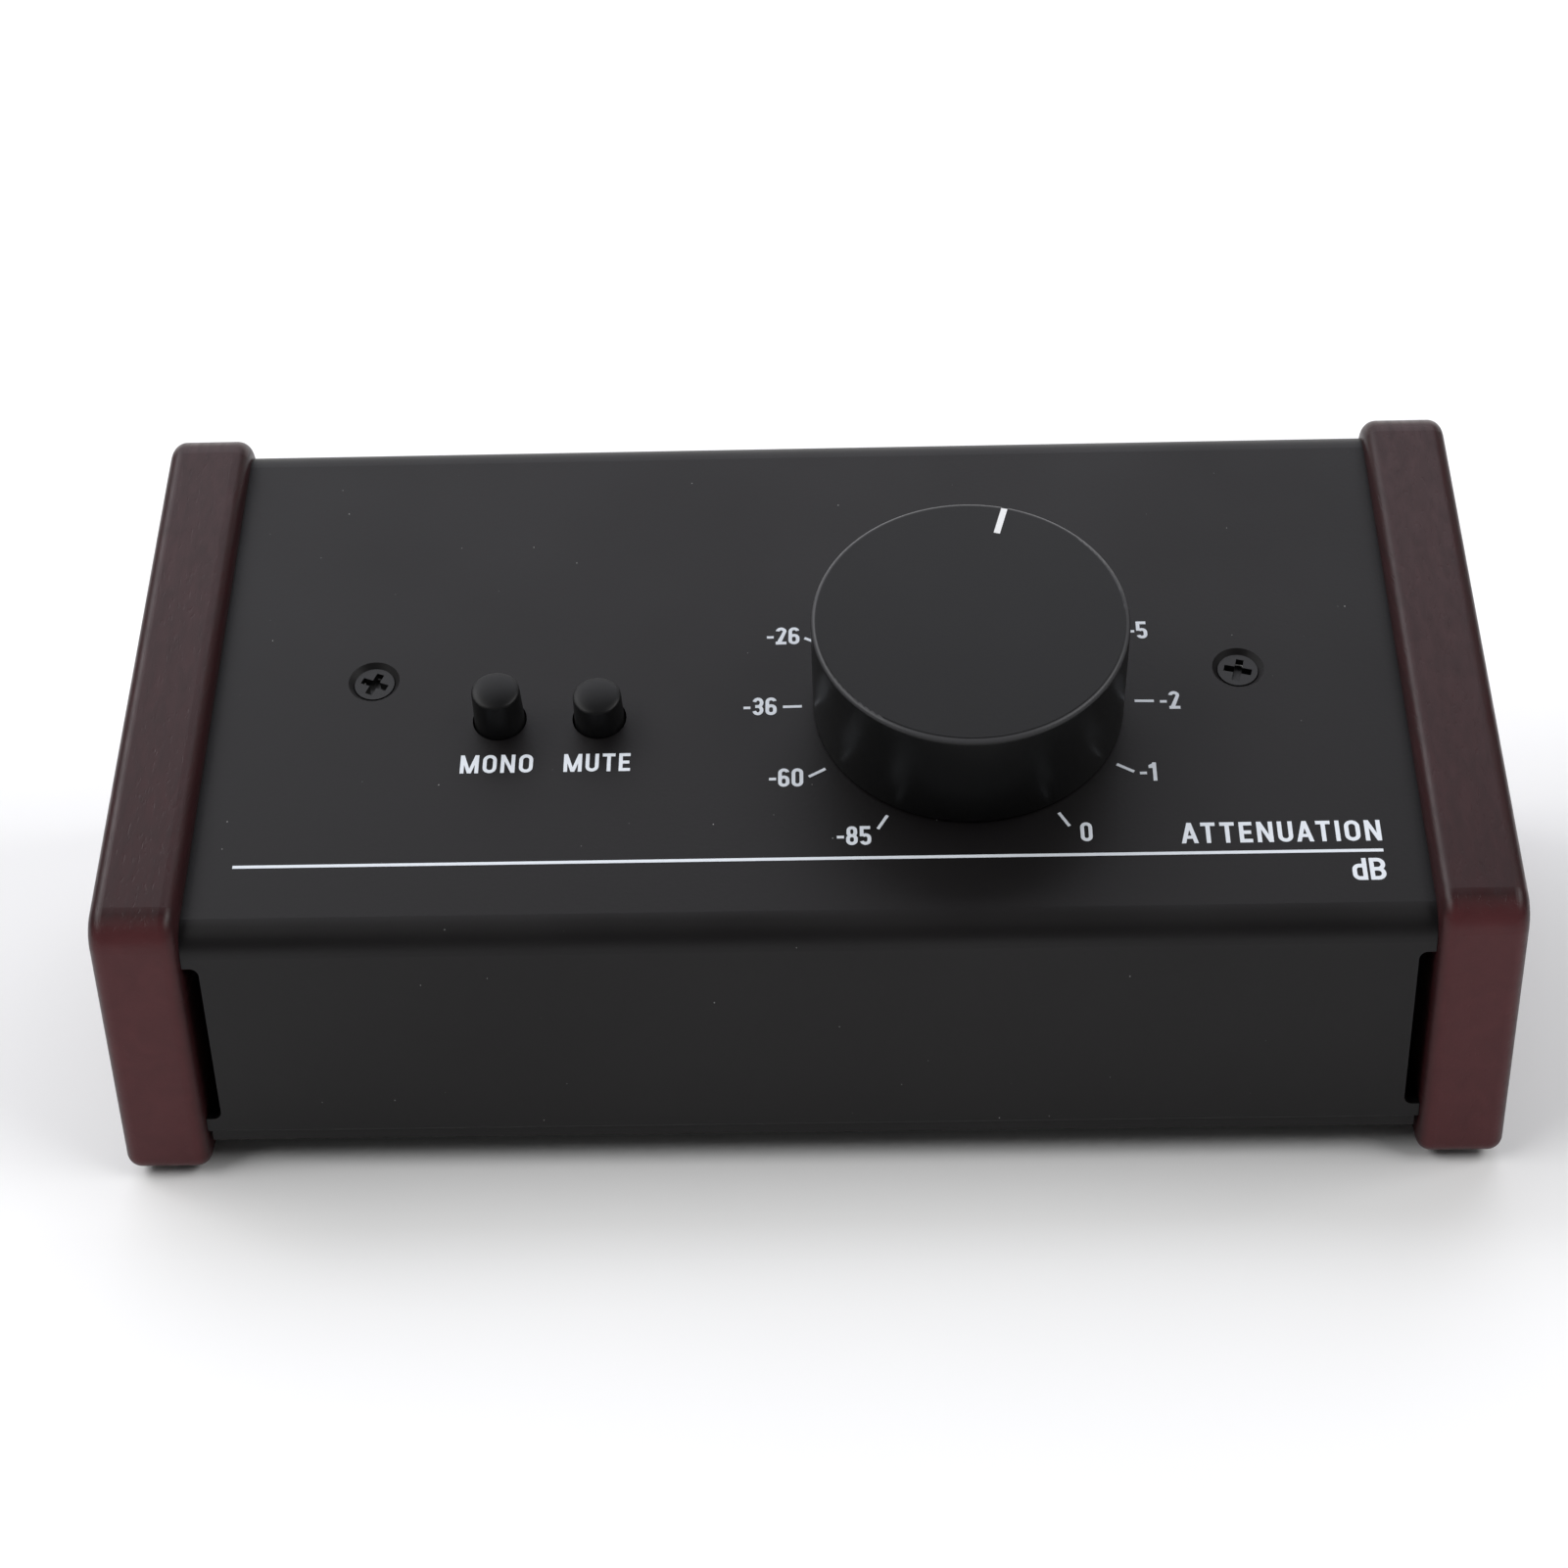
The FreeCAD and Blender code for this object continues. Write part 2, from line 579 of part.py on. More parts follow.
def make_base():
    """Base plate with its two sides folded up under the panel, to carry the cheeks."""
    body = new_body("base_plate")
    front = f"({FRONT} + Dim.lip_width + Dim.side_gap)"
    rear = f"({REAR} - Dim.lip_width - Dim.side_gap)"
    inner = f"({HALF} - Dim.sheet)"
    section = new_sketch(body, "XZ_Plane", "base_section", z=f"-{rear}")
    add_polygon(section, [
        (f"-{HALF}", "Dim.foot_height"), (HALF, "Dim.foot_height"), (HALF, REAR_EDGE), (inner, REAR_EDGE),
        (inner, BASE), (f"-{inner}", BASE), (f"-{inner}", REAR_EDGE), (f"-{HALF}", REAR_EDGE),
    ])
    pad(body, section, f"{rear} - {front}")
    outside = corner_edges(body, section, (0, 1))
    soften(body, "Fillet", outside, "Dim.tight_bend + Dim.sheet", "side_fold_outside")
    soften(body, "Fillet", corner_edges(body, section, (4, 5)), "Dim.tight_bend", "side_fold_inside")
    trim = new_sketch(body, "YZ_Plane", "side_tops")
    roof = f"{EDGE} - (Dim.sheet + Dim.side_gap) / cos({SLOPE})"
    corner = "Dim.side_corner"
    front_top = f"{roof} + ({front} + {corner} - {FRONT}) * tan({SLOPE})"
    rear_top = f"{roof} + ({rear} - {corner} - {FRONT}) * tan({SLOPE})"
    add_polygon(trim, [
        (f"{front} - Dim.overrun", f"{front_top} - {corner} - Dim.overrun"),
        (f"{front} + {corner}", front_top),
        (f"{rear} - {corner}", rear_top),
        (f"{rear} + Dim.overrun", f"{rear_top} - {corner} - Dim.overrun"),
        (f"{rear} + Dim.overrun", f"{REAR_EDGE} + Dim.overrun"),
        (f"{front} - Dim.overrun", f"{REAR_EDGE} + Dim.overrun"),
    ])
    cut(body, trim, "Dim.chassis_width + 2 * Dim.overrun", both_ways=True)
    outline = new_sketch(body, "XY_Plane", "base_outline", z="Dim.foot_height")
    waist = f"({inner} - Dim.tight_bend)"
    end = f"({HALF} - Dim.base_inset)"
    front_end = f"{FRONT} + Dim.base_inset"
    rear_end = f"{REAR} - Dim.base_inset"
    front_slot = f"{front} - Dim.side_gap"
    rear_slot = f"{rear} + Dim.side_gap"
    add_polygon(outline, [
        (f"-{end}", front_end), (end, front_end), (end, front_slot), (waist, front_slot),
        (waist, rear_slot), (end, rear_slot), (end, rear_end), (f"-{end}", rear_end),
        (f"-{end}", rear_slot), (f"-{waist}", rear_slot), (f"-{waist}", front_slot), (f"-{end}", front_slot),
    ])
    pad(body, outline, "Dim.base_thickness")
    screws = new_sketch(body, "XY_Plane", "base_holes", z="Dim.foot_height")
    for x, y in BASE_SCREWS:
        add_circle(screws, "Dim.free_hole", x, y)
    cut(body, screws, "2 * Dim.base_thickness", forward=True)
    holes = new_sketch(body, "YZ_Plane", "side_holes")
    for y, z in SIDE_SCREWS:
        add_circle(holes, "Dim.wood_thread + Dim.fit_gap", y, z)
    cut(body, holes, "Dim.chassis_width + 2 * Dim.overrun", both_ways=True)
    return keep(body, "base_plate")


def make_foot(label, side, y):
    """Tapered rubber bumper under the base plate."""
    body = new_body(label)
    section = new_sketch(body, "XZ_Plane", f"{label}_section")
    add_polygon(section, [("0", "0"), ("Dim.foot_tip_radius", "0"),
                          ("Dim.foot_radius", "Dim.foot_height"), ("0", "Dim.foot_height")])
    revolve(body, section)
    soften(body, "Chamfer", circle_edges(body, 0, sheet.foot_tip_radius), "Dim.foot_edge", f"{label}_bevel")
    place(body, f"{side}({HALF} - Dim.foot_side)", y)
    return keep(body, label)


def make_cheek(label, side):
    """Solid wooden cheek, rounded all over, with blind pilot holes in its inner face."""
    body = new_body(label)
    low = "Dim.cheek_ground"
    rise = f"Dim.cheek_rise / cos({SLOPE})"
    front = f"{FRONT} - Dim.cheek_overhang"
    rear = f"{REAR} + Dim.cheek_rear_overhang"
    face = new_sketch(body, "YZ_Plane", f"{label}_profile")
    add_polygon(face, [
        (front, low),
        (rear, low),
        (rear, f"{REAR_EDGE} + {rise} + Dim.cheek_rear_overhang * tan({SLOPE})"),
        (front, f"{EDGE} + {rise} - Dim.cheek_overhang * tan({SLOPE})"),
    ])
    pad(body, face, "Dim.cheek_thickness")
    soften(body, "Fillet", corner_edges(body, face, (2, 3)), "Dim.cheek_corner", f"{label}_corners")
    edges = corner_edges(body, face, (0, 1)) + flat_edges(body)
    soften(body, "Fillet", edges, "Dim.cheek_round", f"{label}_rounding")
    inner = "0" if side > 0 else "Dim.cheek_thickness"
    pilots = new_sketch(body, "YZ_Plane", f"{label}_pilots", z=inner)
    for y, z in SIDE_SCREWS:
        add_circle(pilots, "Dim.wood_thread + Dim.fit_gap", y, z)
    depth = "Dim.wood_length - Dim.sheet + Dim.fit_gap"
    cut(body, pilots, depth, forward=side > 0)
    x = HALF if side > 0 else f"-({HALF} + Dim.cheek_thickness)"
    place(body, x)
    return keep(body, label)


# ---------------------------------------------------------------- screws, nuts, standoffs

def cut_cross(body, name, top, turn="0 deg"):
    """Cross recess in a screw head whose top lies at the given height."""
    arm = "Dim.cross_arm"
    half = "Dim.cross_width / 2"
    recess = new_sketch(body, "XY_Plane", f"{name}_recess", z=top, turn=(Z_AXIS, turn))
    add_polygon(recess, [
        (arm, f"-{half}"), (arm, half), (half, half), (half, arm), (f"-{half}", arm), (f"-{half}", half),
        (f"-{arm}", half), (f"-{arm}", f"-{half}"), (f"-{half}", f"-{half}"), (f"-{half}", f"-{arm}"),
        (half, f"-{arm}"), (half, f"-{half}"),
    ])
    cut(body, recess, "Dim.cross_depth")


def make_pan_screw(name, head, height, thread, length):
    """Pan head above the origin, thread below it."""
    body = new_body(name)
    section = new_sketch(body, "XZ_Plane", f"{name}_section")
    add_polygon(section, [("0", f"-{length}"), (f"{thread} - Dim.screw_point", f"-{length}"),
                          (thread, f"-{length} + Dim.screw_point"), (thread, "0"), (head, "0"),
                          (head, "Dim.pan_rim"), (f"{head} * Dim.pan_crown", height), ("0", height)])
    revolve(body, section)
    cut_cross(body, name, height)
    return body


def make_flat_screw(name, turn):
    """Countersunk head in the panel's countersink, with its top a little below the panel's face."""
    body = new_body(name)
    rim = "(Dim.sink_radius - Dim.flat_head - Dim.fit_gap)"
    section = new_sketch(body, "XZ_Plane", f"{name}_section")
    tip = "-Dim.panel_screw_length"
    add_polygon(section, [("0", tip), ("Dim.thread - Dim.screw_point", tip),
                          ("Dim.thread", f"{tip} + Dim.screw_point"),
                          ("Dim.thread", f"-{rim} - Dim.flat_head + Dim.thread"),
                          ("Dim.flat_head", f"-{rim}"), ("Dim.flat_head", f"-{rim} + Dim.flat_rim"),
                          ("0", f"-{rim} + Dim.flat_rim")])
    revolve(body, section)
    cut_cross(body, name, f"-{rim} + Dim.flat_rim", turn)
    return body


def make_screws():
    wood = make_pan_screw("wood_screw", "Dim.wood_head", "Dim.wood_head_height", "Dim.wood_thread",
                          "Dim.wood_length")
    cheek_screws = []
    for side in (-1, 1):
        for y, z in SIDE_SCREWS:
            link = copy_of(wood, "cheek_screw")
            link.Placement = FreeCAD.Placement(FreeCAD.Vector(), FreeCAD.Rotation(Y_AXIS, -90 * side))
            place(link, f"{side} * ({HALF} - Dim.sheet)", y, z)
            cheek_screws.append(link)
    group("cheek_screws", cheek_screws)

    short = make_pan_screw("base_screw", "Dim.pan_head", "Dim.pan_height", "Dim.thread",
                           "Dim.base_screw_length")
    base_screws = []
    for x, y in BASE_SCREWS:
        link = copy_of(short, "base_screw_copy")
        link.Placement = FreeCAD.Placement(FreeCAD.Vector(), FreeCAD.Rotation(X_AXIS, 180))
        place(link, x, y, "Dim.foot_height")
        base_screws.append(link)
    group("base_screws", base_screws)

    board = make_pan_screw("board_screw", "Dim.pan_head", "Dim.pan_height", "Dim.thread",
                           "Dim.board_screw_length")
    standoff = make_standoff()
    panel_screws = []
    board_screws = []
    standoffs = []
    for hand, side in (("left", "-"), ("right", "")):
        x = f"{side}Dim.panel_screw_side"
        flat = make_flat_screw(f"{hand}_flat_screw", f"Dim.{hand}_cross_turn * 1 deg")
        place_on_panel(flat, x, "Dim.panel_screw_up")
        panel_screws.append(flat)
        link = copy_of(standoff, "standoff_copy")
        place_on_panel(link, x, "Dim.panel_screw_up", f"-{BOARD}")
        standoffs.append(link)
        link = copy_of(board, "board_screw_copy")
        place_on_panel(link, x, "Dim.panel_screw_up", f"-{BOARD} - Dim.board_thickness")
        link.setExpression("Placement.Rotation.Angle", f"{SLOPE} + 180 deg")
        board_screws.append(link)
    group("panel_screws", panel_screws)
    group("panel_standoffs", standoffs)
    group("board_screws", board_screws)


def make_standoff():
    """Hexagonal spacer between the panel and the control board, tapped right through."""
    body = new_body("standoff")
    outline = new_sketch(body, "XY_Plane", "standoff_outline")
    add_hexagon(outline, "Dim.standoff_flats")
    add_circle(outline, "Dim.thread + Dim.fit_gap")
    pad(body, outline, f"{BOARD} - Dim.sheet")
    mouth = new_sketch(body, "XY_Plane", "standoff_mouth", z=f"{BOARD} - Dim.sheet")
    add_circle(mouth, "Dim.thread + Dim.tight_bend + 2 * Dim.fit_gap")
    cut(body, mouth, "Dim.tight_bend + Dim.fit_gap", taper=-45)
    return body


def make_hex_nut(name, flats, bore, height):
    """Hexagonal nut with its upper corners bevelled."""
    body = new_body(name)
    outline = new_sketch(body, "XY_Plane", f"{name}_outline")
    add_hexagon(outline, flats)
    add_circle(outline, bore)
    pad(body, outline, height)
    top = new_sketch(body, "XZ_Plane", f"{name}_bevel")
    rim = f"({flats} / sqrt(3) + Dim.overrun)"
    fall = f"({rim} - {flats} / 2) * tan(Dim.nut_bevel_slope * 1 deg)"
    add_polygon(top, [(f"{flats} / 2", height), (rim, height), (rim, f"{height} - {fall}")])
    groove = body.newObject("PartDesign::Groove", f"{name}_groove")
    groove.Profile = top
    groove.ReferenceAxis = (top, ["V_Axis"])
    groove.Angle = 360
    before = body.Shape.Volume
    doc.recompute()
    fail_if_bad(groove)
    if body.Shape.Volume > before - CLOSE:
        raise RuntimeError(f"{name} keeps its corners")
    return body


# ---------------------------------------------------------------- attenuator

def revolved(name, corners):
    """Body turned from corners given as radius and height."""
    body = new_body(name)
    section = new_sketch(body, "XZ_Plane", f"{name}_section")
    add_polygon(section, corners)
    revolve(body, section)
    return body


def place_at_knob(item, label):
    place_on_panel(item, "Dim.knob_x", "Dim.knob_up")
    return keep(item, label)


def make_bush_plate():
    """Mounting plate with its threaded bush and the tab that stops it turning in the panel."""
    body = new_body("attenuator_bush")
    face = "-Dim.sheet"
    plate = new_sketch(body, "XY_Plane", "bush_plate", z=face)
    add_square(plate, "Dim.plate_side")
    pad(body, plate, "Dim.plate_thickness", backward=True)
    bush = new_sketch(body, "XY_Plane", "bush_neck", z=face)
    add_circle(bush, "Dim.bush_radius")
    pad(body, bush, "Dim.sheet + Dim.bush_rise")
    tab = new_sketch(body, "XY_Plane", "bush_tab", z=face)
    half = "Dim.tab_width / 2"
    thick = "Dim.tab_thickness / 2"
    add_box(tab, f"-Dim.tab_distance - {thick}", f"-{half}", f"-Dim.tab_distance + {thick}", half)
    pad(body, tab, "Dim.sheet - Dim.stem_gap")
    bore = new_sketch(body, "XY_Plane", "bush_bore", z="Dim.bush_rise")
    add_circle(bore, "Dim.shaft_radius + Dim.fit_gap")
    cut(body, bore, "2 * (Dim.sheet + Dim.bush_rise + Dim.plate_thickness)")
    lip = circle_edges(body, sheet.bush_rise, sheet.bush_radius)
    soften(body, "Chamfer", lip, "Dim.nut_bevel", "bush_bevel")
    return place_at_knob(body, "attenuator_bush")


def gang_top(index):
    """Height of a gang's open face: the first gang hangs from the mounting plate."""
    return f"-(Dim.sheet + Dim.plate_thickness + {index} * Dim.gang_height)"


def make_gang(label, index):
    """Round cup with its resistor wafer as the floor, drawn out into a tongue for the terminals."""
    body = new_body(label)
    top = gang_top(index)
    cup = new_sketch(body, "XY_Plane", f"{label}_cup", z=top)
    add_circle(cup, "Dim.gang_radius")
    pad(body, cup, "Dim.gang_height", backward=True)
    tongue = new_sketch(body, "XY_Plane", f"{label}_tongue", z=f"{top} - Dim.gang_height")
    add_box(tongue, "-Dim.tongue_half", "-Dim.tongue_length", "Dim.tongue_half", "0")
    pad(body, tongue, "Dim.gang_floor")
    room = new_sketch(body, "XY_Plane", f"{label}_room", z=top)
    add_circle(room, "Dim.gang_radius - Dim.gang_wall")
    cut(body, room, "Dim.gang_height - Dim.gang_floor")
    hole = new_sketch(body, "XY_Plane", f"{label}_hole", z=top)
    add_circle(hole, "Dim.shaft_radius + Dim.stem_gap")
    cut(body, hole, "Dim.gang_height + Dim.overrun")
    return place_at_knob(body, label)


def make_back_cover():
    body = new_body("attenuator_back")
    disc = new_sketch(body, "XY_Plane", "back_disc", z=gang_top(2))
    add_circle(disc, "Dim.gang_radius")
    add_circle(disc, "Dim.pivot_radius + Dim.fit_gap")
    pad(body, disc, "Dim.cover_thickness", backward=True)
    return place_at_knob(body, "attenuator_back")


def make_terminals():
    """Three bent terminals from each gang's tongue down through the control board."""
    bent = []
    tail = f"-(Dim.board_depth + Dim.board_thickness + Dim.pin_tail)"
    for index, reach in ((0, "Dim.terminal_front"), (1, "Dim.terminal_rear")):
        under = f"{gang_top(index)} - Dim.gang_height"
        strip = f"{under} - Dim.terminal_thickness"
        for number in (-1, 0, 1):
            body = new_body(f"terminal_{index}_{number + 1}")
            side = new_sketch(body, "YZ_Plane", f"{body.Name}_side", z=f"{number} * Dim.terminal_pitch")
            add_polygon(side, [
                ("-Dim.terminal_root", under), (f"-{reach}", under), (f"-{reach}", tail),
                (f"-{reach} + Dim.terminal_thickness", tail), (f"-{reach} + Dim.terminal_thickness", strip),
                ("-Dim.terminal_root", strip),
            ])
            pad(body, side, "Dim.terminal_width", both_ways=True)
            place_on_panel(body, "Dim.knob_x", "Dim.knob_up")
            bent.append(body)
    return group("attenuator_terminals", bent)


def make_shaft():
    """Control shaft: collar under the plate, pivot in the back cover, flat under the knob's grub."""
    collar = "-(Dim.sheet + Dim.plate_thickness + Dim.fit_gap)"
    shoulder = f"{gang_top(2)} + Dim.fit_gap"
    end = f"{gang_top(2)} - Dim.cover_thickness"
    body = revolved("attenuator_shaft", [
        ("0", end), ("Dim.pivot_radius", end), ("Dim.pivot_radius", shoulder), ("Dim.shaft_radius", shoulder),
        ("Dim.shaft_radius", f"{collar} - Dim.shaft_collar_height"),
        ("Dim.shaft_collar", f"{collar} - Dim.shaft_collar_height"),
        ("Dim.shaft_collar", collar), ("Dim.shaft_radius", collar),
        ("Dim.shaft_radius", "Dim.shaft_top"), ("0", "Dim.shaft_top"),
    ])
    flat = new_sketch(body, "XY_Plane", "shaft_flat_outline", z="Dim.shaft_top", turn=(Z_AXIS, TURN))
    add_box(flat, "-Dim.shaft_radius", "Dim.shaft_flat", "Dim.shaft_radius", "Dim.shaft_radius + Dim.overrun")
    cut(body, flat, "Dim.shaft_top - Dim.shaft_flat_start")
    soften(body, "Chamfer", circle_edges(body, sheet.shaft_top, sheet.shaft_radius), "Dim.nut_bevel",
           "shaft_bevel")
    return place_at_knob(body, "attenuator_shaft")


def make_rotor(label, index):
    """Disc on the shaft with two wiper springs that reach down to the wafer."""
    floor = f"{gang_top(index)} - Dim.gang_height + Dim.gang_floor"
    low = f"({floor} + Dim.rotor_height)"
    body = new_body(label)
    disc = new_sketch(body, "XY_Plane", f"{label}_disc", z=low)
    add_circle(disc, "Dim.rotor_radius")
    add_circle(disc, "Dim.shaft_radius")
    pad(body, disc, "Dim.rotor_height")
    wiper = new_sketch(body, "XZ_Plane", f"{label}_wipers")
    touch = f"{floor} + Dim.fit_gap"
    for side in ("-", ""):
        foot = "Dim.wiper_radius"
        root = "Dim.wiper_radius + Dim.rotor_height"
        thick = "Dim.wiper_thickness"
        add_polygon(wiper, [(f"{side}({foot})", touch), (f"{side}({root})", low),
                            (f"{side}({root} + {thick})", low), (f"{side}({foot} + {thick})", touch)])
    pad(body, wiper, "Dim.wiper_width", both_ways=True)
    return place_at_knob(body, label)


def make_knob():
    """Turned knob: rounded rim, pointer groove over the rim, room below for the nut, grub hole."""
    bore = "Dim.shaft_radius + Dim.fit_gap"
    body = revolved("knob", [
        ("Dim.knob_recess", "Dim.knob_gap"), ("Dim.knob_radius", "Dim.knob_gap"),
        ("Dim.knob_radius", "Dim.knob_top"), ("0", "Dim.knob_top"),
        ("0", "Dim.shaft_top + Dim.stem_gap"), (bore, "Dim.shaft_top + Dim.stem_gap"),
        (bore, "Dim.knob_recess_top"), ("Dim.knob_recess", "Dim.knob_recess_top"),
    ])
    rim = circle_edges(body, sheet.knob_top, sheet.knob_radius)
    soften(body, "Fillet", rim, "Dim.knob_edge", "knob_rim")
    groove = new_sketch(body, "XY_Plane", "pointer_groove", z="Dim.knob_top", turn=(Z_AXIS, TURN))
    half = "Dim.pointer_width / 2"
    add_box(groove, f"-{half}", "Dim.pointer_start", half, "Dim.knob_radius + Dim.overrun")
    cut(body, groove, "Dim.pointer_depth")
    grub = new_sketch(body, "XZ_Plane", "grub_hole", turn=(Y_AXIS, TURN))
    add_circle(grub, "Dim.thread + Dim.fit_gap", "0", "Dim.grub_height")
    cut(body, grub, "Dim.knob_radius + Dim.overrun")
    return place_at_knob(body, "knob")


def make_pointer():
    """Paint that fills the knob's pointer groove."""
    body = new_body("knob_pointer_line")
    floor = "Dim.knob_top - Dim.pointer_depth"
    line = new_sketch(body, "XY_Plane", "pointer_fill", z=floor, turn=(Z_AXIS, TURN))
    half = "Dim.pointer_width / 2"
    add_box(line, f"-{half}", "Dim.pointer_start", half, "Dim.knob_radius - Dim.pointer_end")
    pad(body, line, "Dim.pointer_paint")
    return place_at_knob(body, "knob_pointer_line")


def make_grub():
    """Grub screw that bears on the shaft's flat, with a hexagon socket at its outer end."""
    body = new_body("knob_grub_screw")
    rod = new_sketch(body, "XZ_Plane", "grub_rod", z="-Dim.shaft_flat", turn=(Y_AXIS, TURN))
    rod.setExpression("AttachmentOffset.Base.x", "Dim.shaft_flat * sin(Dim.pointer_angle * 1 deg)")
    rod.setExpression("AttachmentOffset.Base.z", "-Dim.shaft_flat * cos(Dim.pointer_angle * 1 deg)")
    add_circle(rod, "Dim.thread", "0", "Dim.grub_height")
    pad(body, rod, "Dim.grub_length", backward=True)
    reach = "(Dim.shaft_flat + Dim.grub_length)"
    key = new_sketch(body, "XZ_Plane", "grub_socket", turn=(Y_AXIS, TURN))
    key.setExpression("AttachmentOffset.Base.x", f"{reach} * sin(Dim.pointer_angle * 1 deg)")
    key.setExpression("AttachmentOffset.Base.z", f"-{reach} * cos(Dim.pointer_angle * 1 deg)")
    add_polygon(key, [(f"Dim.grub_hex / sqrt(3) * cos({60 * k} deg)",
                       f"Dim.grub_height + Dim.grub_hex / sqrt(3) * sin({60 * k} deg)") for k in range(6)])
    cut(body, key, "Dim.grub_hex", forward=True)
    return place_at_knob(body, "knob_grub_screw")


def make_attenuator():
    make_bush_plate()
    make_gang("attenuator_gang_front", 0)
    make_gang("attenuator_gang_rear", 1)
    make_back_cover()
    make_terminals()
    washer = revolved("attenuator_washer", [
        ("Dim.bush_radius + Dim.fit_gap", "0"), ("Dim.washer_radius", "0"),
        ("Dim.washer_radius", "Dim.washer_height"), ("Dim.bush_radius + Dim.fit_gap", "Dim.washer_height"),
    ])
    place_at_knob(washer, "attenuator_washer")
    nut = make_hex_nut("attenuator_nut", "Dim.nut_flats", "Dim.bush_radius + Dim.fit_gap", "Dim.nut_height")
    place_on_panel(nut, "Dim.knob_x", "Dim.knob_up", "Dim.washer_height")
    keep(nut, "attenuator_nut")
    make_shaft()
    make_rotor("attenuator_rotor_front", 0)
    make_rotor("attenuator_rotor_rear", 1)
    make_knob()
    make_pointer()
    make_grub()


# ---------------------------------------------------------------- push switches

def make_switch(name, x, latched):
    """Latching push switch on the control board, with its return spring, plunger and cap."""
    drop = "-Dim.latch_drop" if latched else "0"

    def set_down(item, label, out="0"):
        place_on_panel(item, x, "Dim.button_up", out)
        return keep(item, label)

    seat = "-Dim.board_depth"

    case = new_body(f"{name}_switch_case")
    block = new_sketch(case, "XY_Plane", f"{name}_block", z=seat)
    add_square(block, "Dim.switch_side")
    pad(case, block, f"{SWITCH_TOP} - {seat}")
    room = new_sketch(case, "XY_Plane", f"{name}_room", z=SWITCH_TOP)
    add_square(room, "Dim.switch_side - 2 * Dim.switch_wall")
    cut(case, room, f"{SWITCH_TOP} - {seat} - Dim.switch_wall")
    set_down(case, f"{name}_switch_case")

    lid = new_body(f"{name}_switch_lid")
    frame = new_sketch(lid, "XY_Plane", f"{name}_lid", z=SWITCH_TOP)
    add_square(frame, "Dim.switch_side")
    add_square(frame, "Dim.stem_side + 2 * Dim.stem_gap")
    pad(lid, frame, "Dim.switch_lid")
    set_down(lid, f"{name}_switch_lid")

    plunger = new_body(f"{name}_plunger")
    under_lid = f"({SWITCH_TOP} - Dim.stem_gap)"
    slider = new_sketch(plunger, "XY_Plane", f"{name}_slider", z=under_lid)
    add_square(slider, "Dim.slider_side")
    pad(plunger, slider, "Dim.slider_height", backward=True)
    stem = new_sketch(plunger, "XY_Plane", f"{name}_stem", z=under_lid)
    add_square(stem, "Dim.stem_side")
    pad(plunger, stem, f"{CAP_LOW} + Dim.cap_socket - Dim.fit_gap - {under_lid}")
    set_down(plunger, f"{name}_plunger", drop)

    rim = "(Dim.cap_rise - Dim.cap_dome)"
    cap = revolved(f"{name}_cap", [("0", CAP_LOW), ("Dim.cap_foot", CAP_LOW), ("Dim.cap_radius", rim),
                                   ("0", rim)])
    add_dome(cap, f"{name}_cap_top", "Dim.cap_radius", "Dim.cap_dome", rim)
    socket = new_sketch(cap, "XY_Plane", f"{name}_socket", z=CAP_LOW)
    add_square(socket, "Dim.stem_side + 2 * Dim.fit_gap")
    cut(cap, socket, "Dim.cap_socket", forward=True)
    set_down(cap, f"{name}_cap", drop)

    make_spring(name, x, sheet.latch_drop if latched else 0)

    pins = []
    for column in (-1, 0, 1):
        for row in (-1, 1):
            pin = new_body(f"{name}_pin_{column + 1}_{row + 1}")
            foot = new_sketch(pin, "XY_Plane", f"{pin.Name}_foot", z=seat)
            add_square(foot, "Dim.pin_side")
            pad(pin, foot, "Dim.board_thickness + Dim.pin_tail", backward=True)
            place_on_panel(pin, f"{x} + {column} * Dim.pin_pitch", f"Dim.button_up + {row} * Dim.pin_row / 2")
            pins.append(pin)
    group(f"{name}_switch_pins", pins)


def make_spring(name, x, drop):
    """Return spring between the case's floor and the slider: a hexagonal wire swept round a coil."""
    wire = sheet.spring_wire
    floor = sheet.switch_wall - sheet.board_depth
    slider = floor + sheet.spring_room + sheet.travel - drop
    low = floor + wire + sheet.fit_gap
    height = slider - floor - 2 * (wire + sheet.fit_gap)
    count = round(sheet.spring_turns * SPRING_STEPS)
    points = []
    for k in range(count + 1):
        spoke = FreeCAD.Rotation(Z_AXIS, 360.0 * k / SPRING_STEPS).multVec(X_AXIS)
        points.append(spoke * sheet.spring_radius + Z_AXIS * (low + height * k / count))
    along = FreeCAD.Rotation(Z_AXIS, points[1] - points[0])
    ring = []
    for k in range(SPRING_SIDES + 1):
        spoke = FreeCAD.Rotation(Z_AXIS, 360.0 * k / SPRING_SIDES).multVec(X_AXIS)
        ring.append(points[0] + along.multVec(spoke * wire))
    coil = doc.addObject("Part::Feature", f"{name}_spring")
    path = Part.Wire(Part.makePolygon(points))
    coil.Shape = path.makePipeShell([Part.makePolygon(ring)], True, False, SHARP_JOINTS)
    place_on_panel(coil, x, "Dim.button_up")
    keep(coil, f"{name}_spring")


# ---------------------------------------------------------------- boards, headers, ribbon

